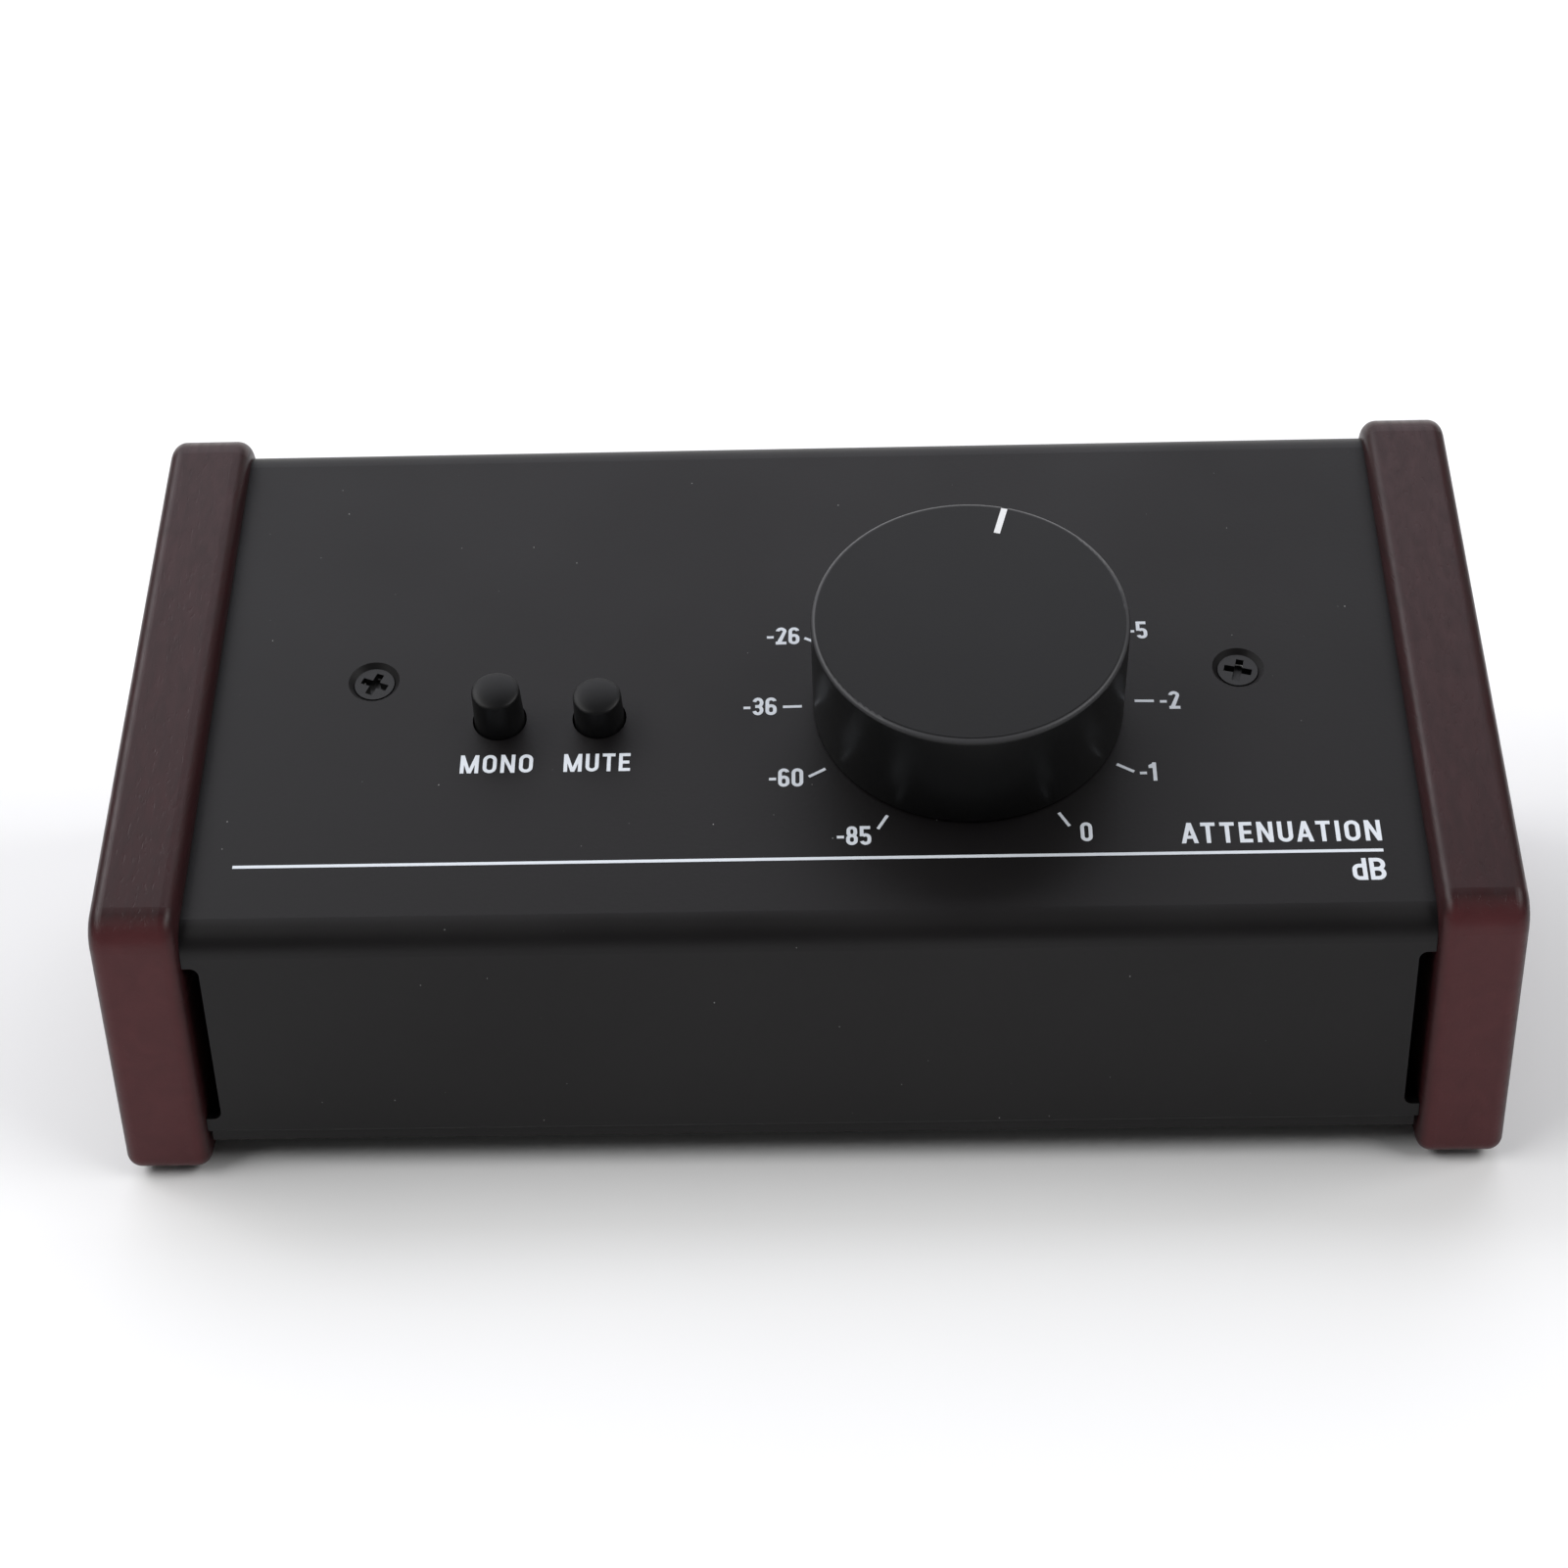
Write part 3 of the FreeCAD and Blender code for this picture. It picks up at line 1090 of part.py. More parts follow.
def make_control_board():
    """Board parallel to the panel, carried by the standoffs, with holes for every pin."""
    body = new_body("control_board")
    outline = new_sketch(body, "XY_Plane", "control_board_outline", z=f"-{BOARD}")
    add_box(outline, f"-{BOARD_HALF}", BOARD_LOW, BOARD_HALF, BOARD_HIGH)
    for side in ("-", ""):
        add_circle(outline, "Dim.free_hole", f"{side}Dim.panel_screw_side", "Dim.panel_screw_up")
    for x in ("Dim.mono_x", "Dim.mute_x"):
        for column in (-1, 0, 1):
            for row in (-1, 1):
                up = f"Dim.button_up + {row} * Dim.pin_row / 2"
                add_circle(outline, "Dim.pin_hole", f"{x} + {column} * Dim.pin_pitch", up)
    for reach in ("Dim.terminal_front", "Dim.terminal_rear"):
        for number in (-1, 0, 1):
            up = f"Dim.knob_up - {reach} + Dim.terminal_thickness / 2"
            add_circle(outline, "Dim.pin_hole", f"Dim.knob_x + {number} * Dim.terminal_pitch", up)
    for number in range(RESISTORS):
        for side in ("-", "+"):
            x = f"Dim.resistor_x {side} Dim.lead_pitch / 2"
            add_circle(outline, "Dim.pin_hole", x, f"Dim.resistor_up + {number} * Dim.resistor_pitch")
    pad(body, outline, "Dim.board_thickness", backward=True)
    place_on_panel(body)
    return keep(body, "control_board")


def make_resistors():
    """Axial resistors that sum both channels for MONO: a round body with its leads bent down."""
    body = new_body("resistor")
    axis = f"(Dim.resistor_radius + Dim.fit_gap - {BOARD})"
    tail = f"-({BOARD} + Dim.board_thickness + Dim.pin_tail)"
    outer = "(Dim.lead_pitch / 2 + Dim.lead_side / 2)"
    inner = "(Dim.lead_pitch / 2 - Dim.lead_side / 2)"
    wire = new_sketch(body, "XZ_Plane", "resistor_leads")
    add_polygon(wire, [
        (f"-{outer}", tail), (f"-{inner}", tail), (f"-{inner}", f"{axis} - Dim.lead_side / 2"),
        (inner, f"{axis} - Dim.lead_side / 2"), (inner, tail), (outer, tail),
        (outer, f"{axis} + Dim.lead_side / 2"), (f"-{outer}", f"{axis} + Dim.lead_side / 2"),
    ])
    pad(body, wire, "Dim.lead_side", both_ways=True)
    tube = new_sketch(body, "YZ_Plane", "resistor_tube")
    add_circle(tube, "Dim.resistor_radius", "0", axis)
    pad(body, tube, "Dim.resistor_length", both_ways=True)
    copies = []
    for number in range(RESISTORS):
        link = copy_of(body, "resistor_copy")
        place_on_panel(link, "Dim.resistor_x", f"Dim.resistor_up + {number} * Dim.resistor_pitch")
        copies.append(link)
    group("summing_resistors", copies)


def contact_slots():
    """Middles of the slots for the contacts' legs: across a socket, and in from the rear wall."""
    return [(f"{hand} * Dim.contact_side", f"({leg} + Dim.contact_thickness / 2)")
            for name, hand, leg, lean in CONTACTS]


def make_jack_board():
    """Level board under the jack sockets, with slots for their contacts."""
    body = new_body("jack_board")
    outline = new_sketch(body, "XY_Plane", "jack_board_outline", z=JACK_FLOOR)
    add_box(outline, "-Dim.jack_board_half_width", f"{REAR} - Dim.jack_board_front",
            "Dim.jack_board_half_width", f"{REAR} - Dim.jack_board_rear")
    for side in JACK_PLACES.values():
        for across, inward in contact_slots():
            x = f"({side} * Dim.jack_pitch + {across})"
            y = f"({REAR} - {inward})"
            half = "(Dim.contact_width / 2 + Dim.contact_slot)"
            thick = "(Dim.contact_thickness / 2 + Dim.contact_slot)"
            add_box(outline, f"{x} - {half}", f"{y} - {thick}", f"{x} + {half}", f"{y} + {thick}")
    pad(body, outline, "Dim.board_thickness", backward=True)
    return keep(body, "jack_board")


def make_ribbon():
    """Two headers and the flat cable that bends from one board to the other."""
    upper = new_body("control_header")
    block = new_sketch(upper, "XY_Plane", "control_header_outline", z=f"-{BOARD} - Dim.board_thickness")
    add_box(block, "-Dim.header_width / 2", "Dim.header_up - Dim.header_depth / 2",
            "Dim.header_width / 2", "Dim.header_up + Dim.header_depth / 2")
    pad(upper, block, "Dim.header_height", backward=True)
    place_on_panel(upper)
    keep(upper, "control_header")

    lower = new_body("jack_header")
    edge = f"({REAR} - Dim.jack_board_front)"
    block = new_sketch(lower, "XY_Plane", "jack_header_outline", z=JACK_FLOOR)
    add_box(block, "-Dim.header_width / 2", edge, "Dim.header_width / 2", f"{edge} + Dim.header_depth")
    pad(lower, block, "Dim.header_height")
    keep(lower, "jack_header")

    drop = f"({BOARD} + Dim.board_thickness + Dim.header_height)"
    start_y = f"({FRONT} + Dim.header_up * cos({SLOPE}) + {drop} * sin({SLOPE}))"
    start_z = f"({EDGE} + Dim.header_up * sin({SLOPE}) - {drop} * cos({SLOPE}))"
    level = f"({JACK_FLOOR} + Dim.header_height / 2)"
    ribbon = new_body("ribbon_cable")
    band = new_sketch(ribbon, "YZ_Plane", "ribbon_band")
    corners = []
    for side in (1, -1):
        half = f"({side} * Dim.ribbon_thickness / 2)"
        run = f"(({start_z} - {level} + {half} * (sin({SLOPE}) - 1)) / cos({SLOPE}))"
        top = (f"{start_y} + {half} * cos({SLOPE})", f"{start_z} + {half} * sin({SLOPE})")
        bend = (f"{start_y} + {half} * cos({SLOPE}) + {run} * sin({SLOPE})", f"{level} + {half}")
        end = (edge, f"{level} + {half}")
        corners.append((top, bend, end))
    (top_in, bend_in, end_in), (top_out, bend_out, end_out) = corners
    add_polygon(band, [top_in, bend_in, end_in, end_out, bend_out, top_out])
    pad(ribbon, band, "Dim.ribbon_width", both_ways=True)
    soften(ribbon, "Fillet", corner_edges(ribbon, band, (1,)), "Dim.ribbon_bend - Dim.ribbon_thickness",
           "ribbon_bend_inside")
    soften(ribbon, "Fillet", corner_edges(ribbon, band, (4,)), "Dim.ribbon_bend", "ribbon_bend_outside")
    return keep(ribbon, "ribbon_cable")


# ---------------------------------------------------------------- jack sockets

def make_jack(name, side):
    """Moulded socket: threaded bush through the rear wall, round throat, and a chamber for contacts."""
    body = new_body(f"{name}_jack")
    face = "-Dim.sheet"
    block = new_sketch(body, "XY_Plane", f"{name}_block", z=face)
    add_box(block, "-Dim.jack_half_width", "-Dim.jack_half_height",
            "Dim.jack_half_width", "Dim.jack_half_height")
    pad(body, block, "Dim.jack_depth - Dim.sheet", backward=True)
    neck = new_sketch(body, "XY_Plane", f"{name}_neck", z=face)
    add_circle(neck, "Dim.jack_bush")
    pad(body, neck, "Dim.sheet + Dim.jack_bush_length")
    throat = new_sketch(body, "XY_Plane", f"{name}_throat", z="Dim.jack_bush_length")
    add_circle(throat, "Dim.jack_bore")
    cut(body, throat, "Dim.jack_bush_length + Dim.jack_throat + Dim.jack_wall")
    room = new_sketch(body, "XY_Plane", f"{name}_chamber", z="-Dim.jack_throat")
    add_box(room, "-Dim.jack_inner_side", "-Dim.jack_inner_up", "Dim.jack_inner_side", "Dim.jack_inner_up")
    cut(body, room, "Dim.jack_depth - Dim.jack_throat - Dim.jack_wall")
    hole = new_sketch(body, "XY_Plane", f"{name}_tip_hole", z="-Dim.jack_throat")
    add_circle(hole, "Dim.jack_tip_hole")
    cut(body, hole, "Dim.jack_depth - Dim.jack_throat + Dim.overrun")
    slots = new_sketch(body, "XZ_Plane", f"{name}_slots", z="-Dim.jack_half_height")
    for x, inward in contact_slots():
        half = "(Dim.contact_width / 2 + Dim.contact_slot)"
        thick = "(Dim.contact_thickness / 2 + Dim.contact_slot)"
        add_box(slots, f"{x} - {half}", f"-{inward} - {thick}", f"{x} + {half}", f"-{inward} + {thick}")
    cut(body, slots, "2 * (Dim.jack_half_height - Dim.jack_inner_up)", both_ways=True)
    lip = circle_edges(body, sheet.jack_bush_length, sheet.jack_bush)
    soften(body, "Chamfer", lip, "Dim.nut_bevel", f"{name}_bush_bevel")
    place_on_jack(body, side)
    keep(body, f"{name}_jack")
    make_contacts(name, side)


def make_contacts(name, side):
    """Bent contact strips: a leg through the floor and the board, and a leaf beside the plug."""
    strips = []
    foot = "Dim.jack_half_height + Dim.board_thickness + Dim.pin_tail"
    leaf = "Dim.contact_drop"
    for contact, hand, leg, lean in CONTACTS:
        body = new_body(f"{name}_{contact}")
        bend = new_sketch(body, "YZ_Plane", f"{name}_{contact}_side", z=f"{hand} * Dim.contact_side")
        back = f"-{leg} - Dim.contact_thickness" if lean > 0 else f"-{leg}"
        front = f"-{leg}" if lean > 0 else f"-{leg} - Dim.contact_thickness"
        tip = f"{front} + {lean} * Dim.contact_reach"
        add_polygon(bend, [(foot, back), (leaf, back), (leaf, tip), (f"{leaf} + Dim.contact_thickness", tip),
                           (f"{leaf} + Dim.contact_thickness", front), (foot, front)])
        pad(body, bend, "Dim.contact_width", both_ways=True)
        place_on_jack(body, side)
        strips.append(body)
    group(f"{name}_contacts", strips)


def make_jacks():
    nut = make_hex_nut("jack_nut", "Dim.jack_nut_flats", "Dim.jack_bush + Dim.fit_gap", "Dim.jack_nut_height")
    nuts = []
    for name, side in JACK_PLACES.items():
        make_jack(name, side)
        link = copy_of(nut, "jack_nut_copy")
        place_on_jack(link, side)
        nuts.append(link)
    group("jack_nuts", nuts)


# ---------------------------------------------------------------- assembly

make_cover()
make_base()
for end, y in (("front", f"{FRONT} + Dim.foot_end"), ("rear", f"{REAR} - Dim.foot_end")):
    for hand, side in (("left", "-"), ("right", "")):
        make_foot(f"foot_{end}_{hand}", side, y)
make_cheek("left_cheek", -1)
make_cheek("right_cheek", 1)
make_screws()
make_control_board()
make_resistors()
make_switch("mono", "Dim.mono_x", latched=False)
make_switch("mute", "Dim.mute_x", latched=True)
make_attenuator()
make_jacks()
make_jack_board()
make_ribbon()

doc.recompute()
for item in doc.Objects:
    if "Invalid" in item.State or "Error" in item.State:
        raise RuntimeError(f"{item.Label} failed: {item.State}")
for item in nodes:
    fail_if_bad(item)
for item in nodes:
    item.Shape.exportStep(f"parts/{item.Label}.step")
print(len(nodes), "nodes written")
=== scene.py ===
import json
import math
import bmesh
import bpy
from mathutils import Matrix, Vector
from mathutils.geometry import delaunay_2d_cdt


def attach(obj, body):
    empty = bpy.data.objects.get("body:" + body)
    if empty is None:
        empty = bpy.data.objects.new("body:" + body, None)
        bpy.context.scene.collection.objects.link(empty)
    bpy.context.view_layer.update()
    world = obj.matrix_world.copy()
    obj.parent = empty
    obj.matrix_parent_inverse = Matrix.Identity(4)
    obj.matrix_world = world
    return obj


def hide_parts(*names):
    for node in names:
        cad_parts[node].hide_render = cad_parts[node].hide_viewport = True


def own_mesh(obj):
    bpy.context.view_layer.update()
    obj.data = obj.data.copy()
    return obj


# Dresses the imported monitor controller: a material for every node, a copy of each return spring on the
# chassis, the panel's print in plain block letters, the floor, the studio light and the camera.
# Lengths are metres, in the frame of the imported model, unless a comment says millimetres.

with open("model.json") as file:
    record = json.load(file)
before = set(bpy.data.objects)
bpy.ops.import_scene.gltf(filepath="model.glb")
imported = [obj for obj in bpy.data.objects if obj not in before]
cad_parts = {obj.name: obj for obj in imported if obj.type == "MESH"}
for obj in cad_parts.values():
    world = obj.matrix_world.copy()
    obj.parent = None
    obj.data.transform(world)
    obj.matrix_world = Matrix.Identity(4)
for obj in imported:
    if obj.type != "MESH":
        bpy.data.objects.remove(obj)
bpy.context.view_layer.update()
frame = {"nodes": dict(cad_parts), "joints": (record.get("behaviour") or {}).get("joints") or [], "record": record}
nodes = frame["nodes"]

MM = 0.001

# ---------------------------------------------------------------- panel directions

# The knob's joint stands on the panel at a right angle and gives the panel's slope.
knob_joint = next(joint for joint in frame["joints"] if joint["name"] == "knob_turn")
OUT = Vector(knob_joint["axis"])
RIGHT = Vector((1, 0, 0))
UP = OUT.cross(RIGHT)
SLOPE = math.atan2(-OUT.y, OUT.z)
KNOB_TOP = 16.0         # mm above the panel, where the joint is given
KNOB_X = 21.1           # mm, dial centre from the middle of the panel
KNOB_UP = 36.2          # mm, dial centre from the front fold, up the slope
DIAL = Vector(knob_joint["pos_m"]) - OUT * KNOB_TOP * MM


def on_panel(x, up, out=0.0):
    """Point in millimetres: across the panel from its middle, up the slope, and out of it."""
    return DIAL + (RIGHT * (x - KNOB_X) + UP * (up - KNOB_UP) + OUT * out) * MM


def from_dial(angle, radius):
    """Place on the panel in millimetres, by degrees clockwise from straight up and by distance."""
    ray = Vector((math.sin(math.radians(angle)), math.cos(math.radians(angle))))
    return Vector((KNOB_X, KNOB_UP)) + ray * radius


# ---------------------------------------------------------------- objects

def add_object(name, data):
    made = bpy.data.objects.new(name, data)
    bpy.context.scene.collection.objects.link(made)
    return made


def add_to_chassis(name, data):
    """New piece that rides on the chassis."""
    piece = add_object(name, data)
    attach(piece, "chassis")
    return piece


def mesh_data(mesh, name, material):
    data = bpy.data.meshes.new(name)
    mesh.to_mesh(data)
    mesh.free()
    data.materials.append(material)
    return data


# ---------------------------------------------------------------- shader nodes

SOCKETS = {
    "base_color": "Base Color", "roughness": "Roughness", "metallic": "Metallic",
    "specular": "Specular IOR Level",
}
# Sockets of the mix node that carry colours. Their names repeat, so they go by their places.
MIX_FIRST = 6
MIX_SECOND = 7
MIX_RESULT = 2


class Shader:
    """One material's node tree, with short calls that add a node and return its output."""

    def __init__(self, name):
        self.material = bpy.data.materials.new(name)
        self.material.use_nodes = True
        self.tree = self.material.node_tree
        self.surface = self.tree.nodes["Principled BSDF"]
        coordinates = self.add("ShaderNodeTexCoord")
        self.place = coordinates.outputs["Object"]
        self.normal = coordinates.outputs["Normal"]

    def add(self, kind, **settings):
        node = self.tree.nodes.new(kind)
        for key, value in settings.items():
            setattr(node, key, value)
        return node

    def join(self, source, target):
        """Link an output to a socket, or put a constant on it."""
        if isinstance(source, (int, float, tuple)):
            target.default_value = source
        else:
            self.tree.links.new(source, target)

    def set(self, **values):
        """Fill the surface's sockets by their short names."""
        for key, value in values.items():
            self.join(value, self.surface.inputs[SOCKETS[key]])

    def grain(self, across, along):
        """Object coordinates turned to the panel's slope, and stretched across and along it."""
        node = self.add("ShaderNodeMapping")
        node.inputs["Rotation"].default_value = (SLOPE, 0, 0)
        node.inputs["Scale"].default_value = (across, along, across)
        self.join(self.place, node.inputs["Vector"])
        return node.outputs["Vector"]

    def noise(self, scale, detail, vector=None, distortion=0.0):
        node = self.add("ShaderNodeTexNoise")
        self.join(self.place if vector is None else vector, node.inputs["Vector"])
        node.inputs["Scale"].default_value = scale
        node.inputs["Detail"].default_value = detail
        node.inputs["Distortion"].default_value = distortion
        return node.outputs["Fac"]

    def cells(self, scale):
        """Distance to the nearest of many scattered points."""
        node = self.add("ShaderNodeTexVoronoi")
        self.join(self.place, node.inputs["Vector"])
        node.inputs["Scale"].default_value = scale
        return node.outputs["Distance"]

    def ramp(self, value, low, high, start=0.0, end=1.0):
        """Value from low to high, taken to start to end, and held outside."""
        node = self.add("ShaderNodeMapRange")
        self.join(value, node.inputs["Value"])
        for key, number in zip(("From Min", "From Max", "To Min", "To Max"), (low, high, start, end)):
            node.inputs[key].default_value = number
        return node.outputs["Result"]

    def blend(self, factor, first, second):
        """Colour between two others."""
        node = self.add("ShaderNodeMix", data_type="RGBA")
        self.join(factor, node.inputs["Factor"])
        for index, colour in ((MIX_FIRST, first), (MIX_SECOND, second)):
            self.join((*colour, 1.0) if isinstance(colour, tuple) else colour, node.inputs[index])
        return node.outputs[MIX_RESULT]

    def math(self, operation, first, second=0.0):
        node = self.add("ShaderNodeMath", operation=operation)
        self.join(first, node.inputs[0])
        self.join(second, node.inputs[1])
        return node.outputs[0]

    def facing(self, direction, low, high):
        """0 to 1 as the surface turns towards a direction or its opposite."""
        dot = self.add("ShaderNodeVectorMath", operation="DOT_PRODUCT")
        self.join(self.normal, dot.inputs[0])
        dot.inputs[1].default_value = direction
        return self.ramp(self.math("ABSOLUTE", dot.outputs["Value"]), low, high)

    def bump(self, height, depth):
        """Relief of the given depth in millimetres, on top of any that is there already."""
        node = self.add("ShaderNodeBump")
        node.inputs["Distance"].default_value = depth * MM
        self.join(height, node.inputs["Height"])
        if self.surface.inputs["Normal"].is_linked:
            self.join(self.surface.inputs["Normal"].links[0].from_socket, node.inputs["Normal"])
        self.join(node.outputs["Normal"], self.surface.inputs["Normal"])


# ---------------------------------------------------------------- materials

# Scales are features in a metre, and relief is in millimetres.
NOISE_BODY = (0.3, 0.7)         # where most of a noise's values lie
PLAIN_SPREAD = 0.03             # how far a plain finish's roughness strays to each side

# Each pair of colours is the darkest and the lightest tone.
COAT_TONES = ((0.0032, 0.0026, 0.0030), (0.0044, 0.0036, 0.0040))
COAT_DUST = (0.30, 0.30, 0.30)
STAIN_TONES = ((0.0235, 0.0067, 0.0074), (0.0360, 0.0100, 0.0112))
STREAK_COLOUR = (0.0130, 0.0045, 0.0050)
# End-grain tones: partly the wood's own redder colour, partly painted light that makes the end faces lighter.
END_GRAIN_PAINTED_LIGHT_TONES = ((0.0670, 0.0190, 0.0210), (0.0980, 0.0276, 0.0304))
ANODISED_TONES = ((0.0048, 0.0048, 0.0050), (0.0062, 0.0062, 0.0064))
# Lighter colour painted round the knob's upper rim as a highlight.
ANODISED_PAINTED_HIGHLIGHT = (0.055, 0.055, 0.058)
MASK_COLOUR = (0.006, 0.055, 0.022)
TRACK_COLOUR = (0.018, 0.115, 0.045)
# Grey of the cable, darker in its grooves as painted shade.
CABLE_TONES_WITH_PAINTED_GROOVE_SHADE = ((0.11, 0.11, 0.12), (0.25, 0.26, 0.28))
INK_TONES = ((0.66, 0.70, 0.76), (0.74, 0.78, 0.83))
FLOOR_TONES = ((0.90, 0.90, 0.90), (0.92, 0.92, 0.92))


def powder_coat():
    """Fine satin powder coat: tiny orange peel, faint cloudy gloss, a few specks of dust."""
    shader = Shader("powder_coat")
    peel = shader.noise(scale=1900, detail=2)
    clouds = shader.noise(scale=38, detail=3)
    specks = shader.ramp(shader.cells(scale=900), 0.085, 0.055)
    sparse = shader.ramp(shader.noise(scale=640, detail=0), 0.74, 0.77)
    dust = shader.math("MULTIPLY", specks, sparse)
    shader.set(base_color=shader.blend(dust, shader.blend(clouds, *COAT_TONES), COAT_DUST),
               roughness=shader.ramp(clouds, *NOISE_BODY, 0.42, 0.50),
               specular=0.28)
    shader.bump(peel, depth=0.010)
    return shader.material


def stained_wood():
    """Close-grained wood under satin lacquer: dark red-brown, with a redder, duller end grain whose faces at the
    front and back are also painted lighter, as painted light.
    """
    shader = Shader("stained_wood")
    streaks = shader.noise(scale=1.0, detail=4, vector=shader.grain(across=900, along=22), distortion=0.6)
    broad = shader.noise(scale=1.0, detail=3, vector=shader.grain(across=190, along=9), distortion=1.2)
    pores = shader.noise(scale=1.0, detail=1, vector=shader.grain(across=2600, along=120))
    streak_strength = shader.ramp(streaks, 0.35, 0.75, 0.0, 0.5)
    long_grain = shader.blend(streak_strength, shader.blend(broad, *STAIN_TONES), STREAK_COLOUR)
    # The faces at the ends get the end-grain tone, lighter there as painted light.
    end_grain_painted_light = shader.blend(shader.noise(scale=260, detail=3, distortion=0.8), *END_GRAIN_PAINTED_LIGHT_TONES)
    at_end = shader.facing((0, 1, 0), 0.5, 0.95)
    shader.set(base_color=shader.blend(at_end, long_grain, end_grain_painted_light),
               roughness=shader.ramp(streaks, *NOISE_BODY, 0.32, 0.42),
               specular=shader.ramp(at_end, 0.0, 1.0, 0.25, 0.18))
    shader.bump(streaks, depth=0.020)
    shader.bump(shader.ramp(pores, 0.62, 0.72, 1.0, 0.0), depth=0.012)
    return shader.material


def black_anodised():
    """Turned aluminium under black anodising: a dark satin skin, with a painted highlight as a lighter band round
    its upper rim.
    """
    shader = Shader("black_anodised")
    skin = shader.noise(scale=2400, detail=2)
    clouds = shader.noise(scale=60, detail=2)
    not_top = shader.facing(OUT, 0.99, 0.94)
    not_side = shader.facing(OUT, 0.25, 0.7)
    # Band where the top turns down into the side, painted lighter as a highlight.
    painted_highlight_band = shader.math("MULTIPLY", not_top, not_side)
    shader.set(base_color=shader.blend(painted_highlight_band, shader.blend(clouds, *ANODISED_TONES), ANODISED_PAINTED_HIGHLIGHT),
               roughness=shader.ramp(clouds, *NOISE_BODY, 0.31, 0.37),
               specular=0.205)
    shader.bump(skin, depth=0.006)
    return shader.material


def circuit_board():
    """Green solder mask over copper tracks that show as slightly raised, lighter lines."""
    shader = Shader("circuit_board")
    bricks = shader.add("ShaderNodeTexBrick", offset=0.35, squash=0.7)
    shader.join(shader.place, bricks.inputs["Vector"])
    for key, value in (("Scale", 160), ("Mortar Size", 0.05), ("Brick Width", 1.1), ("Row Height", 0.4)):
        bricks.inputs[key].default_value = value
    tracks = shader.ramp(bricks.outputs["Fac"], 0.0, 1.0)
    shader.set(base_color=shader.blend(tracks, MASK_COLOUR, TRACK_COLOUR), roughness=0.32)
    shader.bump(tracks, depth=0.03)
    return shader.material


def ribbon():
    """Grey flat cable: its cores show as ridges along its length, with painted shade darkening the grooves between
    them.
    """
    shader = Shader("cable_jacket")
    wave = shader.add("ShaderNodeTexWave", bands_direction="X", wave_profile="SIN")
    shader.join(shader.place, wave.inputs["Vector"])
    wave.inputs["Scale"].default_value = 250
    cores = wave.outputs["Fac"]
    # Colour follows the ridges: painted shade in the grooves, lighter on the crests.
    shader.set(base_color=shader.blend(cores, *CABLE_TONES_WITH_PAINTED_GROOVE_SHADE), roughness=0.5)
    shader.bump(cores, depth=0.2)
    return shader.material


def plain(name, dark, light, roughness, metallic=0.0, specular=0.5, scale=400, relief=0.006):
    """Material with a fine mottled tone, gloss and relief."""
    shader = Shader(name)
    mottle = shader.noise(scale=scale, detail=3)
    shader.set(base_color=shader.blend(mottle, dark, light),
               roughness=shader.ramp(mottle, *NOISE_BODY, roughness - PLAIN_SPREAD, roughness + PLAIN_SPREAD),
               metallic=metallic, specular=specular)
    shader.bump(shader.noise(scale=scale * 4, detail=2), depth=relief)
    return shader.material


METAL = {"metallic": 1.0}
PLAIN_FINISHES = {      # slot: darkest and lightest tone, roughness, and what isn't as usual
    "white_paint": ((0.70, 0.71, 0.72), (0.80, 0.81, 0.82), 0.42, {}),
    "black_screws": ((0.0035, 0.0035, 0.0038), (0.0060, 0.0060, 0.0063), 0.36,
                     {"specular": 0.34, "scale": 900}),
    "foot_rubber": ((0.010, 0.010, 0.010), (0.018, 0.018, 0.018), 0.72, {"relief": 0.02}),
    "black_plastic": ((0.0055, 0.0055, 0.0058), (0.0070, 0.0070, 0.0073), 0.40, {"specular": 0.18}),
    "jack_moulding": ((0.008, 0.008, 0.008), (0.012, 0.012, 0.012), 0.45, {}),
    "nickel": ((0.56, 0.54, 0.50), (0.68, 0.66, 0.62), 0.24, METAL),
    "contact_metal": ((0.62, 0.58, 0.48), (0.72, 0.68, 0.58), 0.32, METAL),
    "spring_wire": ((0.48, 0.48, 0.48), (0.62, 0.62, 0.62), 0.28, METAL),
    "plated_steel": ((0.52, 0.53, 0.54), (0.66, 0.66, 0.64), 0.34, METAL),
    "cast_alloy": ((0.50, 0.50, 0.50), (0.62, 0.62, 0.62), 0.48, METAL),
    "phenolic": ((0.06, 0.03, 0.018), (0.10, 0.052, 0.030), 0.5, {}),
    "header_plastic": ((0.012, 0.012, 0.012), (0.02, 0.02, 0.02), 0.5, {}),
    "resistor_lacquer": ((0.10, 0.19, 0.28), (0.14, 0.25, 0.35), 0.3, {}),
    "switch_plastic": ((0.55, 0.53, 0.47), (0.64, 0.62, 0.56), 0.45, {}),
}


def make_materials():
    """Every slot of the record with its finish."""
    finishes = {
        "powder_coat": powder_coat(),
        "stained_wood": stained_wood(),
        "black_anodised": black_anodised(),
        "circuit_board": circuit_board(),
        "cable_jacket": ribbon(),
    }
    for slot, (dark, light, roughness, unusual) in PLAIN_FINISHES.items():
        finishes[slot] = plain(slot, dark, light, roughness, **unusual)
    return finishes


def dress_nodes(materials):
    """Give every CAD node its slot's finish."""
    slots = {part["node"]: part["material_slot"] for part in frame["record"]["subparts"]}
    for name, node in nodes.items():
        node.data.materials.clear()
        node.data.materials.append(materials[slots[name]])


# ---------------------------------------------------------------- return springs

# Share of a spring's length at rest that is left at the end of its button's longer travel.
SPRING_KEEP = {"mono": 0.37, "mute": 0.52}


def add_return_springs():
    """A copy of each return spring's coil, set on the chassis in place of its node, which is hidden."""
    for button, keep in SPRING_KEEP.items():
        data = nodes[f"{button}_spring"].data.copy()
        coil = add_to_chassis(f"{button}_return_spring", data)
        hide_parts(f"{button}_spring")
        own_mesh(coil)


# ---------------------------------------------------------------- letter shapes

